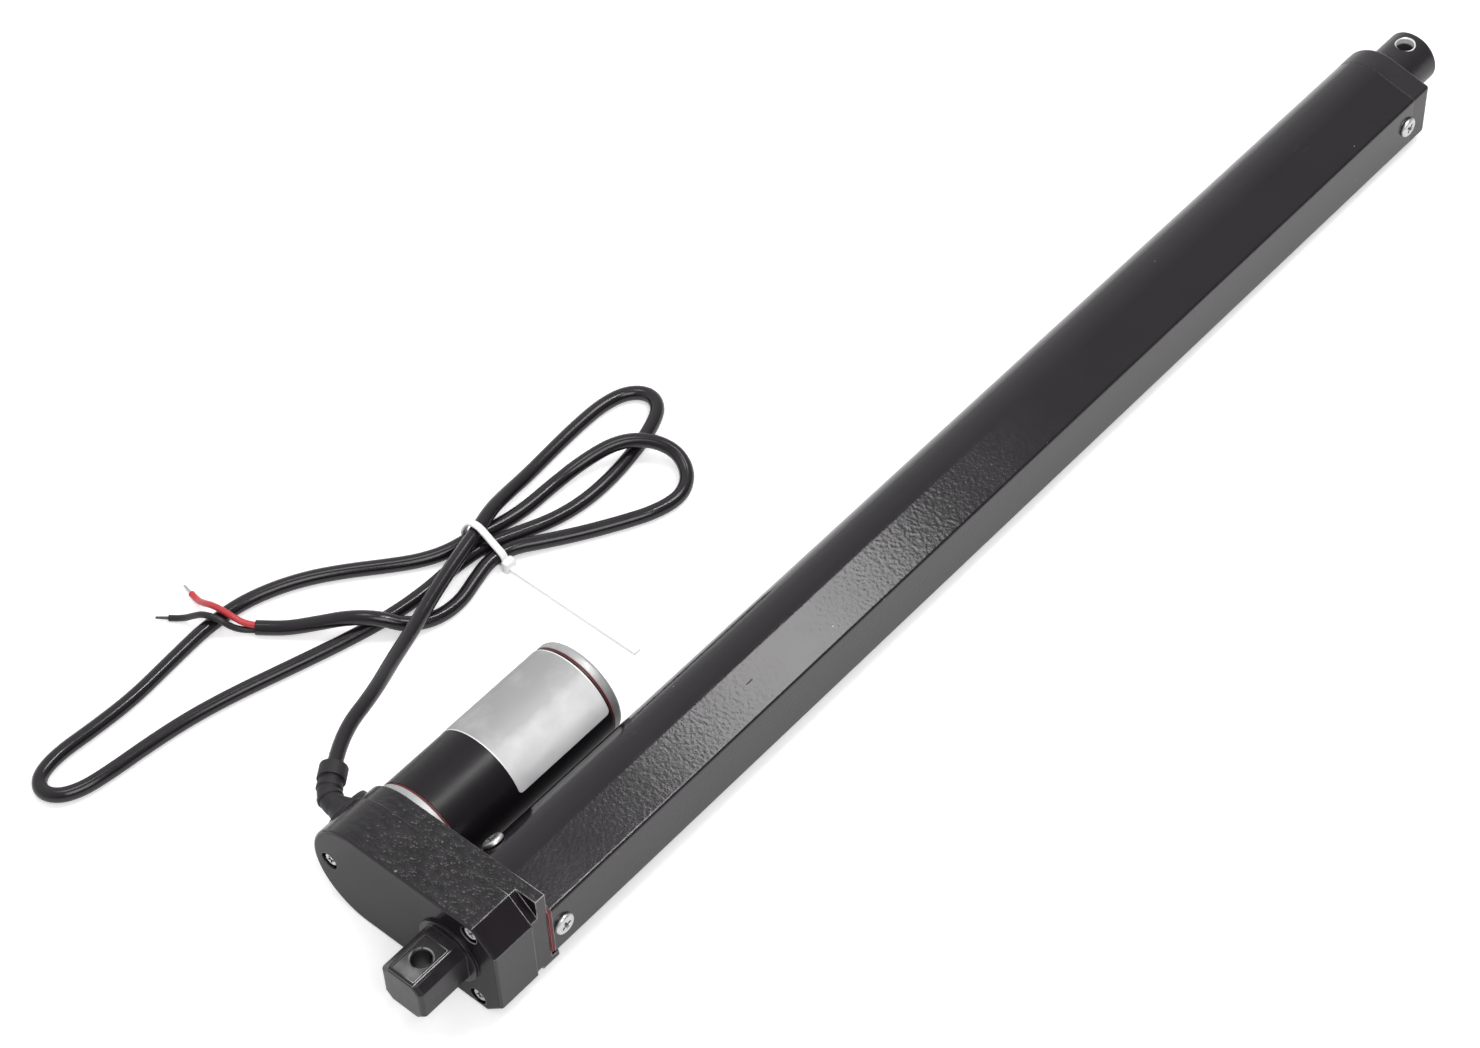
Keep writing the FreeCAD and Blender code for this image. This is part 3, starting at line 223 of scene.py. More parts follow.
# Gearbox: level faces and gloss are ramps on a face's normal along Z and along X, the rest on places along Y
CASTING_EDGE_ROUND = 0.0005
CASTING_CLOUDS = 0.02
CASTING_BLACKS = ((0.008, 0.005, 0.008), (0.013, 0.0098, 0.013))
CASTING_LEVEL = (0.9, 0.98)
CASTING_GLOSS = (-0.98, -0.9, 0.14, 0.5)
# The cut corner's pale edges: wear, and a painted highlight on those edges
CASTING_WORN_HIGHLIGHT_Y = (-0.006, -0.010, 0.12, 1.0)
CASTING_SIDE_Y = (-0.0197, -0.0187, 0.15, 1.0)
CASTING_PATCHY = (0.36, 0.56, 0.35, 1.0)
CASTING_WORN_HIGHLIGHT = grey(0.55)
CASTING_DUST = (0.011, 0.25, grey(0.2))
CASTING_SKIN_SIZE = 0.0011
CASTING_SKIN_DEPTH = 0.000025
CASTING_ROUGH = (0.18, 0.25)
LEATHER_Y = (0.05, 0.025, 0.4, 1.0)
LEATHER_STRETCH = (1.0, 0.45, 1.0)
LEATHER_SIZE = 0.0016
LEATHER_DEPTH = 0.0008
# The leather's ridges are painted lighter than its hollows, a painted highlight
LEATHER_RIDGE = (0.35, 0.68)
LEATHER_RIDGE_HIGHLIGHT_BLACKS = ((0.002, 0.001, 0.002), (0.017, 0.0144, 0.017))

# Clevis: its pocket's floor lies between two heights and is satin grey with painted shade, paler at the rear
# and darker toward the base; its edges carry a painted highlight by ramps on X, Y and Z; its hole's rim is
# paler, partly bare metal and partly painted highlight
CLEVIS_EDGE_ROUND = 0.0005
CLEVIS_CLOUDS = 0.006
CLEVIS_BLACKS = ((0.009, 0.006, 0.009), (0.014, 0.0108, 0.014))
CLEVIS_FLOOR_LOW = (0.0077, 0.00775)
CLEVIS_FLOOR_HIGH = (0.0079, 0.00785)
CLEVIS_FLOOR_SHADE_X = (-0.005, 0.0005, 0.13, 0.012)
CLEVIS_FLOOR_DRIFT = (0.6, 1.4)
CLEVIS_HIGHLIGHT_X = (0.0075, 0.006)
CLEVIS_HIGHLIGHT_Y = (0.0, -0.005, 0.1, 1.0)
CLEVIS_HIGHLIGHT_Z = (0.0058, 0.0064)
CLEVIS_EDGE_HIGHLIGHT = grey(0.85)
CLEVIS_RIM = (0.0035, 0.0039)
CLEVIS_RIM_PATCHES = 0.003
CLEVIS_RIM_PATCHY = (0.4, 0.55, 0.05, 1.0)
CLEVIS_RIM_SHARE = 0.6
CLEVIS_RIM_BARE_AND_HIGHLIGHT = grey(0.5)
CLEVIS_SKIN_SIZE = 0.0012
CLEVIS_SKIN_DEPTH = 0.00003
CLEVIS_ROUGH = (0.26, 0.36)

# Rod end: bare metal between two distances from its hole's axis, with painted shade deep in the bore and a
# painted highlight toward the mouths
PIVOT_SPACING = 0.505
ROD_END_EDGE_ROUND = 0.0004
ROD_END_CLOUDS = 0.01
ROD_END_BLACKS = ((0.011, 0.008, 0.011), (0.018, 0.0147, 0.018))
ROD_END_HOLE = (0.001, 0.0037)
ROD_END_BORE_LIGHT_Z = (0.0069, 0.0075)
ROD_END_BORE_SHADE_AND_HIGHLIGHT = ((0.08, 0.078, 0.08), grey(0.95))
ROD_END_METAL = 0.35
ROD_END_SKIN_SIZE = 0.0012
ROD_END_SKIN_DEPTH = 0.00002
ROD_END_ROUGH = (0.34, 0.3)

# Gaskets: where each one's middle is along X, and how far from it the dark line fades out
GASKET_EDGE_ROUND = 0.0002
GASKET_CLOUDS = 0.004
GASKET_REDS = ((0.3, 0.03, 0.038), (0.42, 0.06, 0.065))
GASKET_MIDDLES = (0.0345, 0.0374, 0.1050)
GASKET_LINE = (0.00026, 0.00016)
GASKET_DARK = (0.035, 0.01, 0.012)
GASKET_GRAIN_SIZE = 0.0006
GASKET_GRAIN_DEPTH = 0.00004
GASKET_ROUGH = 0.5

# Foil: a painted highlight, pale toward -Y and darker toward +Y across the motor, and its pale rim starts
# and is full this far from the plate's ends
FOIL_CLOUDS = 0.014
FOIL_SHADED_AND_LIT_SILVERS = ((0.4, 0.396, 0.4), (0.97, 0.97, 0.975))
FOIL_PAINTED_HIGHLIGHT_Y = (MOTOR_Y - 0.0055, MOTOR_Y - 0.0145)
FOIL_PAINTED_HIGHLIGHT_DRIFT = (-0.16, 0.16)
FOIL_RIM = (0.0005, 0.0003)
FOIL_RIM_PALE = grey(0.88)
FOIL_BRUSH_STRETCH = (0.06, 1.0, 1.0)
FOIL_BRUSH_SIZE = 0.0005
FOIL_BRUSH_DEPTH = 0.000004
FOIL_DENT_SIZE = 0.012
FOIL_DENT_DEPTH = 0.0004
FOIL_ROUGH = (0.5, 0.58)
FOIL_METAL = 0.4

# Screws: plating as dark and light colour and metal share, those in sinks painted paler against their shade,
# and painted shade in the recess
SCREW_PLATINGS = {
    "plated_screw": ((0.54, 0.54, 0.535), (0.78, 0.78, 0.775), 1.0),
    # Screws in sinks: a paler, less metallic copy of the plating, painted light against the shade of their
    # sinks
    "sunk_screw_painted_paler": ((0.8, 0.8, 0.795), (0.95, 0.95, 0.945), 0.3),
}
SCREW_CLOUDS = 0.002
SCREW_PAINTED_SHADE = grey(0.03)
SCREW_SHADE_REACH = 0.0012
SCREW_OPEN = (0.45, 0.9)
SCREW_GRAIN_SIZE = 0.0006
SCREW_GRAIN_DEPTH = 0.00004
SCREW_ROUGH = (0.34, 0.46)

# Nylon of the tie
TIE_CLOUDS = 0.008
TIE_WHITES = ((0.94, 0.94, 0.945), grey(0.98))
TIE_TOOTH_SCALE = 260.0
TIE_TOOTH_DEPTH = 0.00003
TIE_ROUGH = (0.3, 0.42)
TIE_SCATTER = 0.3
TIE_SCATTER_REACH = grey(0.001)

# Motor's sleeve: less gloss where the tube shades it
SLEEVE_SHADE_REACH = 0.007
SLEEVE_GLOSS = (0.45, 0.85, 0.04, 0.3)

# Plain finishes: dark and light colour, roughness from and to, size and depth of the grain,
# and where they differ from the usual, metal share, size of the clouds and colour of worn edges
PLAIN_CLOUDS = 0.012
PLAIN_PATCHY = (0.4, 0.6, 0.1, 0.8)
PLAIN_FINISHES = {
    "cord_sheath": ((0.008, 0.0058, 0.008), (0.015, 0.0122, 0.015), (0.15, 0.21), 0.0009, 0.00002),
    "red_core": ((0.5, 0.03, 0.04), (0.66, 0.055, 0.065), (0.3, 0.4), 0.0007, 0.00004),
    "black_core": (grey(0.011), grey(0.02), (0.35, 0.45), 0.0006, 0.00002),
    "tinned_strand": (grey(0.55), grey(0.7), (0.3, 0.4), 0.0006, 0.00002, 1.0),
    "dull_strand": ((0.1, 0.09, 0.085), (0.2, 0.19, 0.18), (0.4, 0.5), 0.0006, 0.00002, 1.0),
    "black_rubber": ((0.009, 0.0066, 0.009), (0.019, 0.0158, 0.019), (0.45, 0.58), 0.0007, 0.00005,
                     0.0, 0.004, grey(0.07)),
    "sleeve_coat": ((0.006, 0.0042, 0.006), (0.009, 0.0068, 0.009), (0.3, 0.36), 0.0012, 0.000012),
    "cap_coat": ((0.010, 0.007, 0.010), (0.016, 0.0128, 0.016), (0.28, 0.36), 0.0013, 0.00004),
    "rod_coat": ((0.011, 0.008, 0.011), (0.017, 0.0138, 0.017), (0.24, 0.32), 0.0012, 0.00002),
    "bright_steel": (grey(0.5), grey(0.62), (0.25, 0.35), 0.0008, 0.00001, 1.0),
    "dark_steel": (grey(0.2), grey(0.26), (0.4, 0.5), 0.0008, 0.00001, 1.0),
    "zinc_shell": ((0.42, 0.42, 0.425), (0.58, 0.58, 0.585), (0.4, 0.55), 0.0005, 0.00005, 0.75, 0.002),
    "bronze": ((0.45, 0.3, 0.14), (0.55, 0.38, 0.18), (0.35, 0.5), 0.0005, 0.00001, 1.0),
    "copper": ((0.5, 0.22, 0.11), (0.62, 0.3, 0.16), (0.25, 0.4), 0.0005, 0.00002, 1.0),
    "white_plastic": ((0.7, 0.7, 0.66), (0.78, 0.78, 0.74), (0.4, 0.5), 0.0008, 0.00001),
    "dark_magnet": ((0.05, 0.05, 0.052), (0.08, 0.08, 0.082), (0.6, 0.7), 0.0008, 0.00002),
    "board_green": ((0.02, 0.1, 0.045), (0.035, 0.14, 0.065), (0.35, 0.45), 0.0008, 0.00001),
    "moulded_black": (grey(0.02), grey(0.03), (0.45, 0.55), 0.0006, 0.00001),
}


def table_z(x):
    return TABLE_Z + max(0.0, x - TABLE_X) * TABLE_SLOPE


def laid(route, diameter):
    """Route points with heights above the table, as places of the middle line."""
    return [Vector((x, y, table_z(x) + diameter / 2 + height)) for x, y, height in route]


def placed(name, data):
    """A new object in the scene."""
    thing = bpy.data.objects.new(name, data)
    bpy.context.scene.collection.objects.link(thing)
    return thing


def make_camera():
    """The camera at the photograph's place, with its roll."""
    flat = math.cos(VIEW_ELEVATION)
    back = Vector((-flat * math.cos(VIEW_AZIMUTH), -flat * math.sin(VIEW_AZIMUTH), math.sin(VIEW_ELEVATION)))
    level = Vector((0, 0, 1)).cross(back).normalized()
    turn = Matrix.Rotation(VIEW_ROLL, 3, back)
    right = turn @ level
    up = back.cross(right)
    data = bpy.data.cameras.new("camera")
    data.sensor_width = SENSOR_WIDTH
    data.lens = FOCAL_PX / PHOTO_WIDTH * SENSOR_WIDTH
    camera = placed("camera", data)
    axes = Matrix((right, up, back)).transposed().to_4x4()
    camera.matrix_world = Matrix.Translation(VIEW_TARGET + back * VIEW_DISTANCE) @ axes
    bpy.context.scene.camera = camera


def add(tree, kind, inputs=None, **settings):
    """A shader node with its settings, and its sockets set or linked."""
    node = tree.nodes.new(kind)
    for name, value in settings.items():
        setattr(node, name, value)
    for key, value in (inputs or {}).items():
        join(tree, value, node.inputs[key])
    return node


def join(tree, value, socket):
    """Links a socket to another one, or sets it to a value."""
    if isinstance(value, bpy.types.NodeSocket):
        tree.links.new(value, socket)
    else:
        socket.default_value = value


def rgba(color):
    """A colour for a socket; what comes from another socket stays as it is."""
    return color if isinstance(color, bpy.types.NodeSocket) else (*color, 1.0)


def started(name):
    """A new material's shader tree, its main node and its places in the part's frame."""
    material = bpy.data.materials.new(name)
    material.use_nodes = True
    tree = material.node_tree
    place = add(tree, "ShaderNodeTexCoord").outputs["Object"]
    return material, tree, tree.nodes["Principled BSDF"], place


def split(tree, vector):
    """A vector's X, Y and Z."""
    return add(tree, "ShaderNodeSeparateXYZ", {0: vector}).outputs


def stretched(tree, place, scale, turn=(0.0, 0.0, 0.0)):
    """Places turned and stretched, for a pattern that runs one way."""
    return add(tree, "ShaderNodeMapping", {"Vector": place, "Rotation": turn, "Scale": scale}).outputs[0]


def noise(tree, place, size, detail=3.0, roughness=0.5):
    """Noise with lumps of a size in metres."""
    inputs = {"Vector": place, "Scale": 1 / size, "Detail": detail, "Roughness": roughness}
    return add(tree, "ShaderNodeTexNoise", inputs).outputs["Fac"]


def clouds(tree, place, size, detail=4.0):
    """The slow noise that carries a finish's colour and roughness."""
    return noise(tree, place, size, detail, roughness=0.6)


def blend(tree, share, first, second):
    """A colour between two, by a share."""
    inputs = {0: share, 6: rgba(first), 7: rgba(second)}
    return add(tree, "ShaderNodeMix", inputs, data_type="RGBA").outputs[2]


def ranged(tree, value, low, high, to_low=0.0, to_high=1.0):
    """A value carried from one range to another, and held inside it."""
    inputs = {0: value, 1: low, 2: high, 3: to_low, 4: to_high}
    return add(tree, "ShaderNodeMapRange", inputs).outputs[0]


def drifted(tree, drift, limits):
    """A value between two limits, by the slow noise."""
    return ranged(tree, drift, *DRIFT_RANGE, *limits)


def math_node(tree, operation, a, b=0.0):
    return add(tree, "ShaderNodeMath", {0: a, 1: b}, operation=operation).outputs[0]


def times(tree, a, b):
    return math_node(tree, "MULTIPLY", a, b)


def rounded(tree, radius):
    """Normals rounded over the edges."""
    return add(tree, "ShaderNodeBevel", {"Radius": radius}, samples=BEVEL_SAMPLES).outputs[0]


def edge_share(tree, soft, full):
    """A share that is 1 along an edge, where the rounded normals turn away from the face's own."""
    flat = add(tree, "ShaderNodeNewGeometry").outputs["Normal"]
    along = add(tree, "ShaderNodeVectorMath", {0: soft, 1: flat}, operation="DOT_PRODUCT").outputs["Value"]
    return ranged(tree, along, EDGE_START, full)


def openness(tree, reach):
    """A share that is 1 where nothing stands within reach, and less in a recess."""
    return add(tree, "ShaderNodeAmbientOcclusion", {"Distance": reach}, samples=AO_SAMPLES).outputs["AO"]


def relief(tree, height, depth, normal, share=1.0):
    """Normals raised by a height from 0 to 1, times a depth in metres."""
    inputs = {"Height": height, "Distance": depth, "Strength": share, "Normal": normal}
    return add(tree, "ShaderNodeBump", inputs).outputs[0]


def flecks(tree, place, size, share, reach=FLECK_REACH):
    """A share that is 1 on small flecks, in some of the cells of a size in metres."""
    cells = add(tree, "ShaderNodeTexVoronoi", {"Vector": place, "Scale": 1 / size})
    pick = split(tree, cells.outputs["Color"])[0]
    dot = ranged(tree, cells.outputs["Distance"], reach * FLECK_CORE, reach, 1.0, 0.0)
    return times(tree, dot, math_node(tree, "LESS_THAN", pick, share))


def dusted(tree, place, color, size, share, pale):
    """A colour with a few small pale specks on it."""
    return blend(tree, flecks(tree, place, size, share), color, pale)


def ring_share(tree, place, middle, inner, outer):
    """A share that is 1 between two distances from an upright axis."""
    flat = add(tree, "ShaderNodeVectorMath", {0: place, 1: (1.0, 1.0, 0.0)}, operation="MULTIPLY").outputs[0]
    away = add(tree, "ShaderNodeVectorMath", {0: flat, 1: middle}, operation="DISTANCE").outputs["Value"]
    inside = ranged(tree, away, outer + RING_BLUR, outer - 2 * RING_BLUR)
    return times(tree, inside, ranged(tree, away, inner - RING_BLUR, inner + RING_BLUR))


def finish(tree, bsdf, color, rough, normal, metallic=0.0):
    """Joins a finish's colour, roughness, normals and metal share to the main node."""
    values = {"Base Color": color, "Roughness": rough, "Normal": normal, "Metallic": metallic}
    for name, value in values.items():
        join(tree, value, bsdf.inputs[name])


def plain_finish(name):
    """A finish from the table of plain ones."""
    return plain_material(name, *PLAIN_FINISHES[name])


def plain_material(name, dark, light, rough, grain, depth, metallic=0.0, cloud=PLAIN_CLOUDS, worn=None):
    """A finish whose colour and roughness drift slowly, with a fine grain, and worn edges where named."""
    material, tree, bsdf, place = started(name)
    soft = rounded(tree, EDGE_ROUND)
    drift = clouds(tree, place, cloud)
    color = blend(tree, drift, dark, light)
    if worn:
        patchy = ranged(tree, noise(tree, place, WEAR_PATCHES), *PLAIN_PATCHY)
        color = blend(tree, times(tree, edge_share(tree, soft, EDGE_FULL), patchy), color, worn)
    fine = relief(tree, noise(tree, place, grain), depth, soft)
    finish(tree, bsdf, color, drifted(tree, drift, rough), fine, metallic)
    return material


def tube_finish():
    """Black powder coat with an orange-peel skin, edges rubbed near the gearbox, nicks and pale specks."""
    material, tree, bsdf, place = started("tube_coat")
    soft = rounded(tree, TUBE_EDGE_ROUND)
    drift = clouds(tree, place, TUBE_CLOUDS)
    black = blend(tree, drift, *TUBE_BLACKS)
    rubbed = blend(tree, ranged(tree, split(tree, place)["X"], *TUBE_RUB_X), *TUBE_RUBS)
    edge = edge_share(tree, soft, COAT_EDGE_FULL)
    worn = blend(tree, times(tree, edge, TUBE_RUB_SHARE), black, rubbed)
    color = dusted(tree, place, worn, *TUBE_DUST)
    peel = relief(tree, noise(tree, place, TUBE_PEEL_SIZE, detail=2.0), TUBE_PEEL_DEPTH, soft)
    nicks = flecks(tree, stretched(tree, place, TUBE_NICK_STRETCH, TUBE_NICK_TURN), *TUBE_NICKS)
    nicked = relief(tree, nicks, TUBE_NICK_DEPTH, peel)
    rough = math_node(tree, "ADD", drifted(tree, drift, TUBE_ROUGH), times(tree, nicks, TUBE_NICK_ROUGH))
    finish(tree, bsdf, color, rough, nicked)
    return material


def casting_finish():
    """Black coat on a casting: leathery on level faces with a painted highlight on the ridges, duller on the
    rear face, worn at the cut corner, where its edges also carry a painted highlight.
    """
    material, tree, bsdf, place = started("casting_coat")
    soft = rounded(tree, CASTING_EDGE_ROUND)
    facing = split(tree, add(tree, "ShaderNodeNewGeometry").outputs["True Normal"])
    across = split(tree, place)["Y"]
    drift = clouds(tree, place, CASTING_CLOUDS)
    level = ranged(tree, math_node(tree, "ABSOLUTE", facing["Z"]), *CASTING_LEVEL)
    grained = times(tree, level, ranged(tree, across, *LEATHER_Y))
    creased = noise(tree, stretched(tree, place, LEATHER_STRETCH), LEATHER_SIZE, detail=2.0)
    # Painted highlight: lighter colour on the leather's ridges
    ridge_highlight = blend(tree, ranged(tree, creased, *LEATHER_RIDGE), *LEATHER_RIDGE_HIGHLIGHT_BLACKS)
    black = blend(tree, grained, blend(tree, drift, *CASTING_BLACKS), ridge_highlight)
    # Wear and a painted highlight on the cut corner's edges
    corner = times(tree, ranged(tree, across, *CASTING_WORN_HIGHLIGHT_Y), ranged(tree, across, *CASTING_SIDE_Y))
    patchy = ranged(tree, noise(tree, place, WEAR_PATCHES), *CASTING_PATCHY)
    rubbed = times(tree, edge_share(tree, soft, COAT_EDGE_FULL), times(tree, patchy, corner))
    worn = blend(tree, rubbed, black, CASTING_WORN_HIGHLIGHT)
    color = dusted(tree, place, worn, *CASTING_DUST)
    leather = relief(tree, creased, LEATHER_DEPTH, soft, grained)
    skin = relief(tree, noise(tree, place, CASTING_SKIN_SIZE), CASTING_SKIN_DEPTH, leather)
    finish(tree, bsdf, color, drifted(tree, drift, CASTING_ROUGH), skin)
    join(tree, ranged(tree, facing["X"], *CASTING_GLOSS), bsdf.inputs["Specular IOR Level"])
    return material


def clevis_finish():
    """Smooth black; the pocket's floor satin grey with painted shade, paler at the rear; painted highlights
    on the edges; and a pale rim round the hole, partly bare metal and partly painted highlight.
    """
    material, tree, bsdf, place = started("clevis_coat")
    soft = rounded(tree, CLEVIS_EDGE_ROUND)
    drift = clouds(tree, place, CLEVIS_CLOUDS)
    spot = split(tree, place)
    height = math_node(tree, "ABSOLUTE", spot["Z"])
    # Painted highlight along the edges, on the side and at the heights the ramps pick
    highlight_place = times(tree, ranged(tree, spot["Y"], *CLEVIS_HIGHLIGHT_Y), ranged(tree, spot["X"], *CLEVIS_HIGHLIGHT_X))
    highlight_place = times(tree, highlight_place, ranged(tree, height, *CLEVIS_HIGHLIGHT_Z))
    bare = times(tree, edge_share(tree, soft, COAT_EDGE_FULL), highlight_place)
    worn = blend(tree, bare, blend(tree, drift, *CLEVIS_BLACKS), CLEVIS_EDGE_HIGHLIGHT)
    # Satin grey floor with painted shade: paler toward the rear, darker toward the base
    floor = times(tree, ranged(tree, height, *CLEVIS_FLOOR_LOW), ranged(tree, height, *CLEVIS_FLOOR_HIGH))
    rubbed = times(tree, ranged(tree, spot["X"], *CLEVIS_FLOOR_SHADE_X), drifted(tree, drift, CLEVIS_FLOOR_DRIFT))
    color = blend(tree, floor, worn, rubbed)
    # A pale rim round the hole: partly bare metal, partly painted highlight
    patchy = ranged(tree, noise(tree, place, CLEVIS_RIM_PATCHES), *CLEVIS_RIM_PATCHY)
    rim = times(tree, ring_share(tree, place, (0.0, 0.0, 0.0), *CLEVIS_RIM), patchy)
    color = blend(tree, times(tree, rim, CLEVIS_RIM_SHARE), color, CLEVIS_RIM_BARE_AND_HIGHLIGHT)
    skin = relief(tree, noise(tree, place, CLEVIS_SKIN_SIZE), CLEVIS_SKIN_DEPTH, soft)
    finish(tree, bsdf, color, drifted(tree, drift, CLEVIS_ROUGH), skin)
    return material


def rod_end_finish():
    """Satin black, with bare metal in the pivot hole, painted dark deep in the bore as shade and bright near
    its mouth as a highlight.
    """
    material, tree, bsdf, place = started("rod_end_coat")
    drift = clouds(tree, place, ROD_END_CLOUDS)
    bare = ring_share(tree, place, (PIVOT_SPACING, 0.0, 0.0), *ROD_END_HOLE)
    height = math_node(tree, "ABSOLUTE", split(tree, place)["Z"])
    # Painted shade deep in the bore, and a painted highlight near the mouths
    bore_shade_and_highlight = blend(tree, ranged(tree, height, *ROD_END_BORE_LIGHT_Z), *ROD_END_BORE_SHADE_AND_HIGHLIGHT)
    color = blend(tree, bare, blend(tree, drift, *ROD_END_BLACKS), bore_shade_and_highlight)
    soft = rounded(tree, ROD_END_EDGE_ROUND)
    skin = relief(tree, noise(tree, place, ROD_END_SKIN_SIZE), ROD_END_SKIN_DEPTH, soft)
    rough = ranged(tree, bare, 0.0, 1.0, *ROD_END_ROUGH)
    finish(tree, bsdf, color, rough, skin, times(tree, bare, ROD_END_METAL))
    return material


def gasket_finish():
    """Dull red sheet whose middle is darker, so that each gasket shows two thin red lines."""
    material, tree, bsdf, place = started("red_gasket")
    along = split(tree, place)["X"]
    color = blend(tree, clouds(tree, place, GASKET_CLOUDS, detail=3.0), *GASKET_REDS)
    for middle in GASKET_MIDDLES:
        off = math_node(tree, "ABSOLUTE", math_node(tree, "SUBTRACT", along, middle))
        color = blend(tree, ranged(tree, off, *GASKET_LINE), color, GASKET_DARK)
    soft = rounded(tree, GASKET_EDGE_ROUND)
    grain = relief(tree, noise(tree, place, GASKET_GRAIN_SIZE), GASKET_GRAIN_DEPTH, soft)
    finish(tree, bsdf, color, GASKET_ROUGH, grain)
    return material


def foil_finish():
    """Brushed silver foil, a little dented, with a painted highlight that grows across the motor and drifts
    in patches, and a paler rim.
    """
    material, tree, bsdf, place = started("silver_foil")
    drift = clouds(tree, place, FOIL_CLOUDS, detail=3.0)
    spot = split(tree, place)
    # Painted highlight: the foil is painted darker toward +Y and paler toward -Y across the motor, drifting
    # in patches
    painted_highlight = ranged(tree, spot["Y"], *FOIL_PAINTED_HIGHLIGHT_Y)
    painted_highlight = math_node(tree, "ADD", painted_highlight, drifted(tree, drift, FOIL_PAINTED_HIGHLIGHT_DRIFT))
    off = math_node(tree, "ABSOLUTE", math_node(tree, "SUBTRACT", spot["X"], (LABEL_X[0] + LABEL_X[1]) / 2))
    rim = ranged(tree, off, *((LABEL_X[1] - LABEL_X[0]) / 2 - inset for inset in FOIL_RIM))
    color = blend(tree, rim, blend(tree, painted_highlight, *FOIL_SHADED_AND_LIT_SILVERS), FOIL_RIM_PALE)
    normal = add(tree, "ShaderNodeNewGeometry").outputs["Normal"]
    dented = relief(tree, noise(tree, place, FOIL_DENT_SIZE, detail=1.0), FOIL_DENT_DEPTH, normal)
    lines = clouds(tree, stretched(tree, place, FOIL_BRUSH_STRETCH), FOIL_BRUSH_SIZE, detail=2.0)
    brushed = relief(tree, lines, FOIL_BRUSH_DEPTH, dented)
    finish(tree, bsdf, color, drifted(tree, drift, FOIL_ROUGH), brushed, FOIL_METAL)
    return material


def screw_finish(name):
    """Bright plating, with painted shade in the recess."""
    dark, light, metallic = SCREW_PLATINGS[name]
    material, tree, bsdf, place = started(name)
    drift = clouds(tree, place, SCREW_CLOUDS)
    bright = blend(tree, drift, dark, light)
    # Painted shade: the plating goes dark where the recess closes round it
    color = blend(tree, ranged(tree, openness(tree, SCREW_SHADE_REACH), *SCREW_OPEN), SCREW_PAINTED_SHADE, bright)
    soft = rounded(tree, EDGE_ROUND)
    grain = relief(tree, noise(tree, place, SCREW_GRAIN_SIZE), SCREW_GRAIN_DEPTH, soft)
    finish(tree, bsdf, color, drifted(tree, drift, SCREW_ROUGH), grain, metallic)
    return material


def tie_finish():
    """Milky nylon, with fine teeth across it."""
    material, tree, bsdf, place = started("nylon")
    drift = noise(tree, place, TIE_CLOUDS)
    color = blend(tree, drift, *TIE_WHITES)
    inputs = {"Vector": place, "Scale": TIE_TOOTH_SCALE}
    teeth = add(tree, "ShaderNodeTexWave", inputs, bands_direction="Y").outputs["Fac"]
    skin = relief(tree, teeth, TIE_TOOTH_DEPTH, rounded(tree, EDGE_ROUND))
    finish(tree, bsdf, color, drifted(tree, drift, TIE_ROUGH), skin)
    bsdf.inputs["Subsurface Weight"].default_value = TIE_SCATTER
    bsdf.inputs["Subsurface Radius"].default_value = TIE_SCATTER_REACH
    return material


def sleeve_finish():
    """A plain coat, with less gloss in the gap beside the tube."""
    material = plain_finish("sleeve_coat")
    tree = material.node_tree
    gloss = ranged(tree, openness(tree, SLEEVE_SHADE_REACH), *SLEEVE_GLOSS)
    join(tree, gloss, tree.nodes["Principled BSDF"].inputs["Specular IOR Level"])
    return material


def make_lights():
    """A soft room, darker on the right, with lamps beyond the part, in front of it and above it."""
    world = bpy.data.worlds.new("room")
    world.use_nodes = True
    tree = world.node_tree
    toward = add(tree, "ShaderNodeTexCoord").outputs["Generated"]
    background = tree.nodes["Background"].inputs
    join(tree, ranged(tree, split(tree, toward)["Y"], *ROOM_STRENGTH), background["Strength"])
    background["Color"].default_value = rgba(WHITE)
    bpy.context.scene.world = world
    for name, place, aim, width, depth, power in LAMPS:
        data = bpy.data.lights.new(name, "AREA")
        data.shape = "RECTANGLE"
        data.size = width
        data.size_y = depth
        data.energy = power
        lamp = placed(name, data)
        lamp.location = place
        lamp.rotation_euler = (Vector(aim) - Vector(place)).to_track_quat("-Z", "Y").to_euler()


def make_table():
    """A pale table, tilted as the part lies on it, that shows white and keeps a soft shadow."""
    material, tree, bsdf, place = started("table")
    join(tree, blend(tree, noise(tree, place, TABLE_CLOUDS), *TABLE_PALES), bsdf.inputs["Base Color"])
    bsdf.inputs["Roughness"].default_value = TABLE_ROUGH
    bsdf.inputs["Specular IOR Level"].default_value = 0.0
    path = add(tree, "ShaderNodeLightPath").outputs
    seen = times(tree, path["Is Camera Ray"], TABLE_LIFT)
    mirrored = math_node(tree, "MAXIMUM", path["Is Glossy Ray"], path["Is Transmission Ray"])
    mirrored = times(tree, mirrored, TABLE_GLOSS_LIFT)
    bsdf.inputs["Emission Color"].default_value = rgba(WHITE)
    join(tree, math_node(tree, "MAXIMUM", seen, mirrored), bsdf.inputs["Emission Strength"])
    mesh = bpy.data.meshes.new("table")
    build = bmesh.new()
    for x, y in ((-1, -1), (1, -1), (1, 1), (-1, 1)):
        x *= TABLE_REACH
        build.verts.new((x, y * TABLE_REACH, TABLE_Z - TABLE_DROP + (x - TABLE_X) * TABLE_SLOPE))
    build.faces.new(build.verts)
    build.to_mesh(mesh)
    build.free()
    mesh.materials.append(material)
    table = placed("table", mesh)


def add_spline(curve, points):
    """One smooth spline along route points."""
    spline = curve.splines.new("NURBS")
    spline.points.add(len(points) - 1)
    for point, place in zip(spline.points, points):
        point.co = (*place, 1.0)
    spline.order_u = 3
    return spline


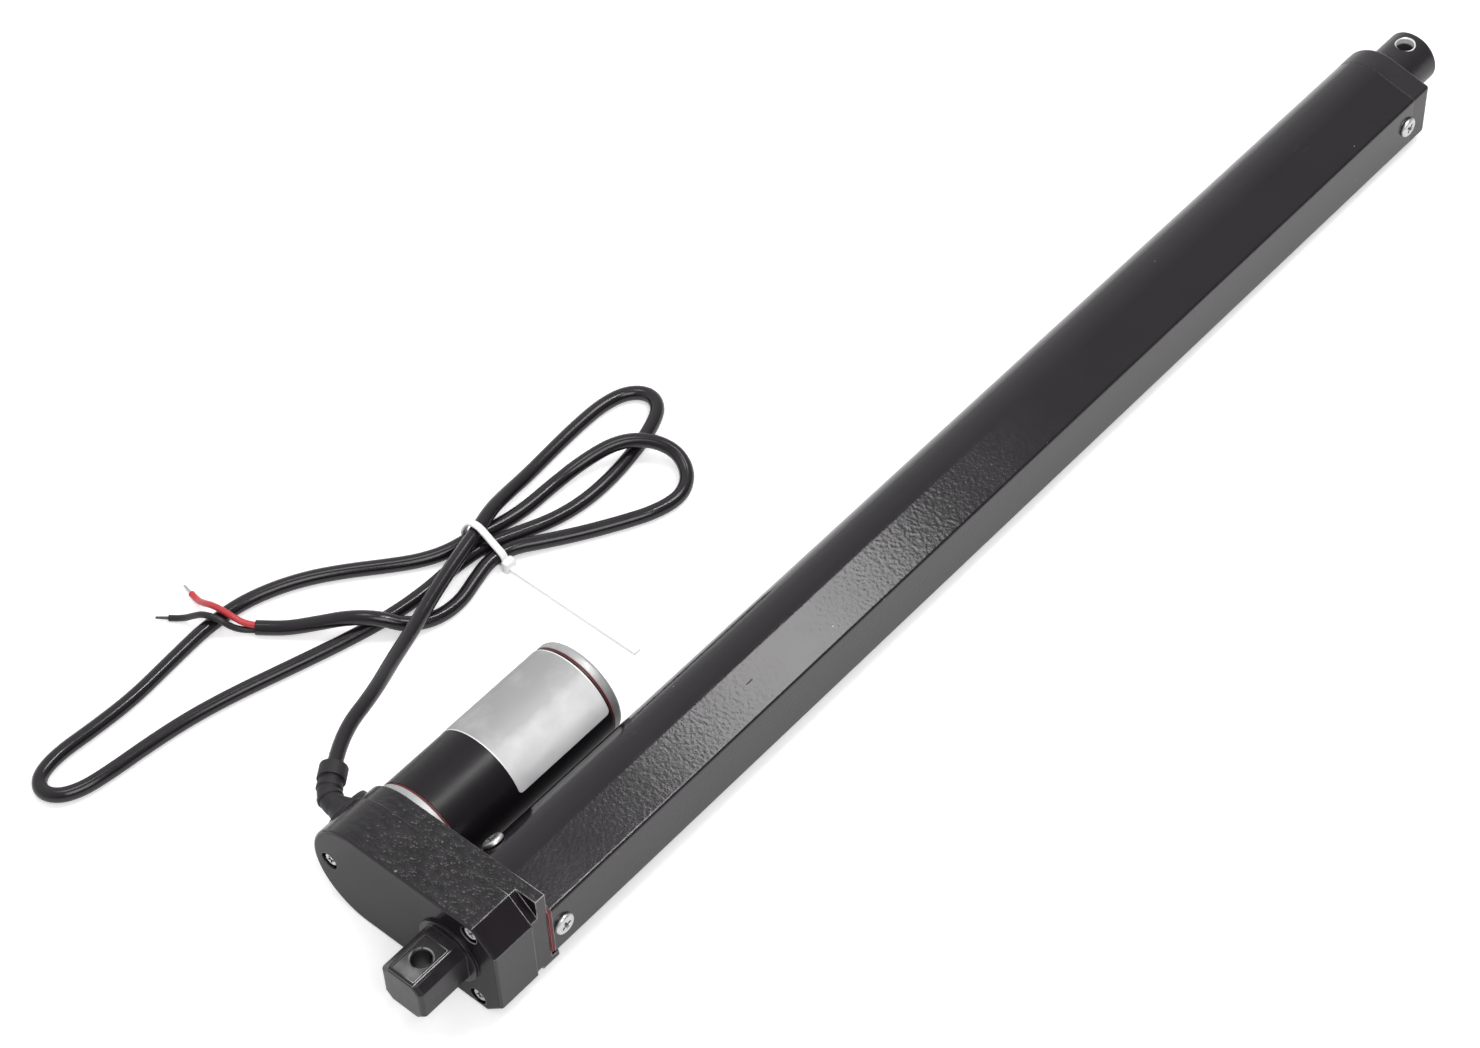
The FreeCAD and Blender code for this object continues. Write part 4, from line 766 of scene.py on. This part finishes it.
def route_curve(name, points, diameter, material):
    """A round cord on one smooth spline."""
    curve = bpy.data.curves.new(name, "CURVE")
    curve.dimensions = "3D"
    curve.bevel_depth = diameter / 2
    curve.bevel_resolution = CORD_STEPS
    curve.resolution_u = CORD_STEPS
    curve.use_fill_caps = True
    add_spline(curve, points).use_endpoint_u = True
    curve.materials.append(material)
    piece = placed(name, curve)
    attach(piece, "housing")
    return piece


def line_points(piece):
    """Places along a curve's own spline, without its thickness."""
    bare = piece.data.copy()
    bare.bevel_depth = 0.0
    twin = bpy.data.objects.new("line", bare)
    mesh = bpy.data.meshes.new_from_object(twin)
    points = [vertex.co.copy() for vertex in mesh.vertices]
    bpy.data.objects.remove(twin)
    bpy.data.meshes.remove(mesh)
    bpy.data.curves.remove(bare)
    return points


def finished_mesh(name, build):
    """A mesh with its faces turned outward, from what was built."""
    mesh = bpy.data.meshes.new(name)
    bmesh.ops.recalc_face_normals(build, faces=build.faces)
    build.to_mesh(mesh)
    build.free()
    return mesh


def mesh_piece(name, build, material, body, crease=35):
    """A piece from a finished mesh, smooth but for its creases."""
    mesh = finished_mesh(name, build)
    for face in mesh.polygons:
        face.use_smooth = True
    mesh.set_sharp_from_angle(angle=math.radians(crease))
    mesh.materials.append(material)
    piece = placed(name, mesh)
    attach(piece, body)
    return piece


def join_rings(build, first, second):
    """Faces between two rings of as many points."""
    for i in range(len(first)):
        j = (i + 1) % len(first)
        build.faces.new((first[i], first[j], second[j], second[i]))


def ribbon(build, path, outward, closed):
    """The tie's flat strip along a path in the plane across X, with its corners cut."""
    cut = TIE_T * TIE_CUT
    half = TIE_WIDTH / 2
    low = -TIE_T / 2
    high = TIE_T / 2
    section = [
        (-half + cut, low), (half - cut, low), (half, low + cut), (half, high - cut),
        (half - cut, high), (-half + cut, high), (-half, high - cut), (-half, low + cut),
    ]
    rings = []
    for place, out in zip(path, outward):
        rings.append([build.verts.new(place + Vector((x, 0, 0)) + out * h) for x, h in section])
    pairs = list(zip(rings, rings[1:]))
    if closed:
        pairs.append((rings[-1], rings[0]))
    else:
        build.faces.new(rings[0])
        build.faces.new(rings[-1])
    for first, second in pairs:
        join_rings(build, first, second)


def make_tie(material):
    """The tie: a band round the four strands, its lock, and its loose tail."""
    table = table_z(TIE_X)
    curve = bpy.data.curves.new("tie_path", "CURVE")
    curve.dimensions = "3D"
    spline = add_spline(curve, [(TIE_X, y, table + h) for y, h in TIE_BAND])
    spline.use_cyclic_u = True
    spline.resolution_u = CORD_STEPS
    guide = bpy.data.objects.new("tie_path", curve)
    path = line_points(guide)
    bpy.data.objects.remove(guide)
    build = bmesh.new()
    outward = []
    for i in range(len(path)):
        ahead = path[(i + 1) % len(path)] - path[i - 1]
        outward.append(ahead.cross(Vector((1, 0, 0))).normalized())
    ribbon(build, path, outward, True)
    tail = [Vector((TIE_X, y, table + h)) for y, h in TIE_TAIL]
    ribbon(build, tail, [Vector((0, 0, 1))] * len(tail), False)
    lock = bmesh.ops.create_cube(build, size=1.0)["verts"]
    size = Matrix.Diagonal((*TIE_LOCK_SIZE, 1.0))
    seat = Matrix.Translation((TIE_X, TIE_LOCK_Y, table + TIE_LOCK_SIZE[2] / 2))
    bmesh.ops.transform(build, matrix=seat @ size, verts=lock)
    rim = {edge for vertex in lock for edge in vertex.link_edges}
    bmesh.ops.bevel(build, geom=list(rim), offset=TIE_LOCK_ROUND, segments=3, affect="EDGES", profile=0.5)
    tie = mesh_piece("tie_band", build, material, "housing")
    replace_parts(tie, "cable_tie")
    return tie


def make_tip(name, line, material):
    """Twisted bare strands past the end of a core."""
    end = line[-1]
    ahead = (line[-1] - line[-2]).normalized()
    side = ahead.cross(Vector((0, 0, 1))).normalized()
    up = side.cross(ahead)
    curve = bpy.data.curves.new(name, "CURVE")
    curve.dimensions = "3D"
    curve.bevel_depth = STRAND_R
    curve.bevel_resolution = 2
    curve.use_fill_caps = True
    for strand in range(STRANDS):
        spline = curve.splines.new("POLY")
        spline.points.add(STRAND_STEPS)
        for step, point in enumerate(spline.points):
            share = step / STRAND_STEPS
            turn = strand * 2 * math.pi / STRANDS + share * STRAND_TWIST
            out = STRAND_RING * (1.0 - STRAND_TAPER * share)
            away = side * math.cos(turn) + up * math.sin(turn)
            point.co = (*(end + ahead * (share * TIP_L - TIP_OVERLAP) + away * out), 1.0)
    curve.materials.append(material)
    tip = placed(name, curve)
    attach(tip, "housing")
    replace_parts(tip, "wire_tips")
    return tip


def make_cords():
    """The cord with its tie, and its two cores with their bare tips."""
    tie = make_tie(tie_finish())
    points = [BOOT_END, BOOT_END + BOOT_AHEAD * CORD_LEAD] + laid(CORD_ROUTE, CORD_D)
    cord = route_curve("cord_line", points, CORD_D, plain_finish("cord_sheath"))
    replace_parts(cord, "cord")
    up = Vector((0, 0, CORE_SPREAD))
    for name, route, strand, start, length in (
        ("red_core", RED_ROUTE, "tinned_strand", points[-1] + up, 0.0312),
        ("black_core", BLACK_ROUTE, "dull_strand", points[-1] - up, 0.0336),
    ):
        line = [start] + laid(route, CORE_D)
        core = route_curve(name + "_line", line, CORE_D, plain_finish(name))
        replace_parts(core, name)
        tip = make_tip(name + "_strands", line, plain_finish(strand))


def pan_head(name, head_r, head_h, head_round, shank_r, length, span, slot_width, slot_depth):
    """A pan head screw along +Z with a cross recess, seated at the origin."""
    dome = []
    for step in range(HEAD_ARC_STEPS + 1):
        turn = math.radians(90 * step / HEAD_ARC_STEPS)
        r = head_r - head_round + head_round * math.cos(turn)
        dome.append((r, head_h - head_round + head_round * math.sin(turn)))
    profile = [(0.0, -length), (shank_r, -length), (shank_r, 0.0), (head_r, 0.0)] + dome + [(0.0, head_h)]
    build = bmesh.new()
    line = [build.verts.new((r, 0, z)) for r, z in profile]
    rims = [build.edges.new(pair) for pair in zip(line, line[1:])]
    whole = 2 * math.pi
    bmesh.ops.spin(build, geom=line + rims, axis=(0, 0, 1), cent=(0, 0, 0), angle=whole, steps=HEAD_STEPS)
    bmesh.ops.remove_doubles(build, verts=build.verts, dist=1e-7)
    head = placed(name, finished_mesh(name, build))
    build = bmesh.new()
    mouth = (head_h + RECESS_ABOVE, span / 2, slot_width / 2)
    bottom = (head_h - slot_depth, span / 5, slot_width / 3)
    rings = []
    for z, reach, half in (mouth, bottom):
        outline = [
            (reach, -half), (reach, half), (half, half), (half, reach), (-half, reach), (-half, half),
            (-reach, half), (-reach, -half), (-half, -half), (-half, -reach), (half, -reach), (half, -half),
        ]
        rings.append([build.verts.new((x, y, z)) for x, y in outline])
    build.faces.new(rings[0])
    build.faces.new(rings[1][::-1])
    join_rings(build, rings[1], rings[0])
    cutter = placed(name + "_recess", finished_mesh(name + "_recess", build))
    recess = head.modifiers.new("recess", "BOOLEAN")
    recess.operation = "DIFFERENCE"
    recess.solver = "EXACT"
    recess.object = cutter
    graph = bpy.context.evaluated_depsgraph_get()
    mesh = bpy.data.meshes.new_from_object(head.evaluated_get(graph))
    bpy.data.objects.remove(head)
    bpy.data.objects.remove(cutter)
    return mesh


def make_screws(plated, sunk):
    """Pan head screws with cross recesses, in place of the plain ones that show."""
    side = pan_head("side_head", **SIDE_HEAD)
    small = pan_head("small_head", **SMALL_HEAD)
    for name, node, mesh, places, material in (
        ("side_screw_heads", "tube_screws", side, SIDE_SCREWS, plated),
        ("cover_screw_heads", "cover_screws", small, COVER_SCREWS, sunk),
    ):
        build = bmesh.new()
        for seat, outward, spin in places:
            first = len(build.verts)
            build.from_mesh(mesh)
            build.verts.ensure_lookup_table()
            aim = Vector(outward).to_track_quat("Z", "Y").to_matrix().to_4x4()
            turn = aim @ Matrix.Rotation(spin, 4, "Z")
            bmesh.ops.transform(build, matrix=Matrix.Translation(seat) @ turn, verts=build.verts[first:])
        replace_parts(mesh_piece(name, build, material, "housing"), node)


def make_label():
    """A bare foil plate wrapped round the motor, with rounded corners."""
    build = bmesh.new()
    first, last = (math.radians(turn) for turn in LABEL_TURN)
    width = MOTOR_R * (last - first)
    rings = []
    for step in range(LABEL_STEPS + 1):
        share = 0.5 - 0.5 * math.cos(math.pi * step / LABEL_STEPS)
        edge = min(share, 1 - share) * width
        inset = 0.0
        if edge < LABEL_CORNER:
            inset = LABEL_CORNER - math.sqrt(LABEL_CORNER ** 2 - (LABEL_CORNER - edge) ** 2)
        turn = first + (last - first) * share
        rear, front = LABEL_X[0] + inset, LABEL_X[1] - inset
        inner, outer = LABEL_R
        ring = []
        for x, r in ((rear, inner), (rear, outer), (front, outer), (front, inner)):
            ring.append(build.verts.new((x, MOTOR_Y + r * math.cos(turn), r * math.sin(turn))))
        rings.append(ring)
    build.faces.new(rings[0])
    build.faces.new(rings[-1])
    for before, after in zip(rings, rings[1:]):
        join_rings(build, before, after)
    mesh_piece("motor_plate", build, foil_finish(), "housing", crease=50)


def dress_nodes():
    """A finish on each piece that comes from the solids, and screw heads in place of the plain ones."""
    plated = screw_finish("plated_screw")
    sunk = screw_finish("sunk_screw_painted_paler")
    for material, names in (
        (tube_finish(), ["outer_tube"]),
        (casting_finish(), ["gearbox_cover", "gearbox_housing"]),
        (plain_finish("cap_coat"), ["front_cap"]),
        (clevis_finish(), ["rear_clevis"]),
        (plain_finish("rod_coat"), ["rod_tube"]),
        (rod_end_finish(), ["rod_end"]),
        (sleeve_finish(), ["motor_sleeve"]),
        (plain_finish("bright_steel"), ["lead_screw", "screw_retainer", "bearing_outer_ring",
                                        "bearing_inner_ring", "bearing_balls", "idler_pin", "motor_pinion",
                                        "motor_shaft"]),
        (plain_finish("dark_steel"), ["armature_core"]),
        (plated, ["tube_screws", "motor_screws"]),
        (sunk, ["cover_screws"]),
        (plain_finish("zinc_shell"), ["motor_rear_bell", "motor_front_cap"]),
        (gasket_finish(), ["tube_gasket", "motor_gaskets"]),
        (plain_finish("black_rubber"), ["wiper_seal", "strain_relief"]),
        (plain_finish("bronze"), ["rod_bush", "motor_bushes"]),
        (plain_finish("copper"), ["armature_winding", "commutator", "wire_tips", "red_core"]),
        (plain_finish("white_plastic"), ["drive_nut", "output_gear", "idler_gear", "cable_tie"]),
        (plain_finish("dark_magnet"), ["motor_magnets", "brushes"]),
        (plain_finish("board_green"), ["switch_board"]),
        (plain_finish("moulded_black"), ["brush_holder", "limit_switches", "cord", "black_core"]),
    ):
        for name in names:
            mesh = nodes[name].data
            mesh.materials.clear()
            mesh.materials.append(material)
    make_screws(plated, sunk)


bpy.context.scene.view_settings.view_transform = "Standard"
make_camera()
make_lights()
make_table()
make_cords()
dress_nodes()
make_label()
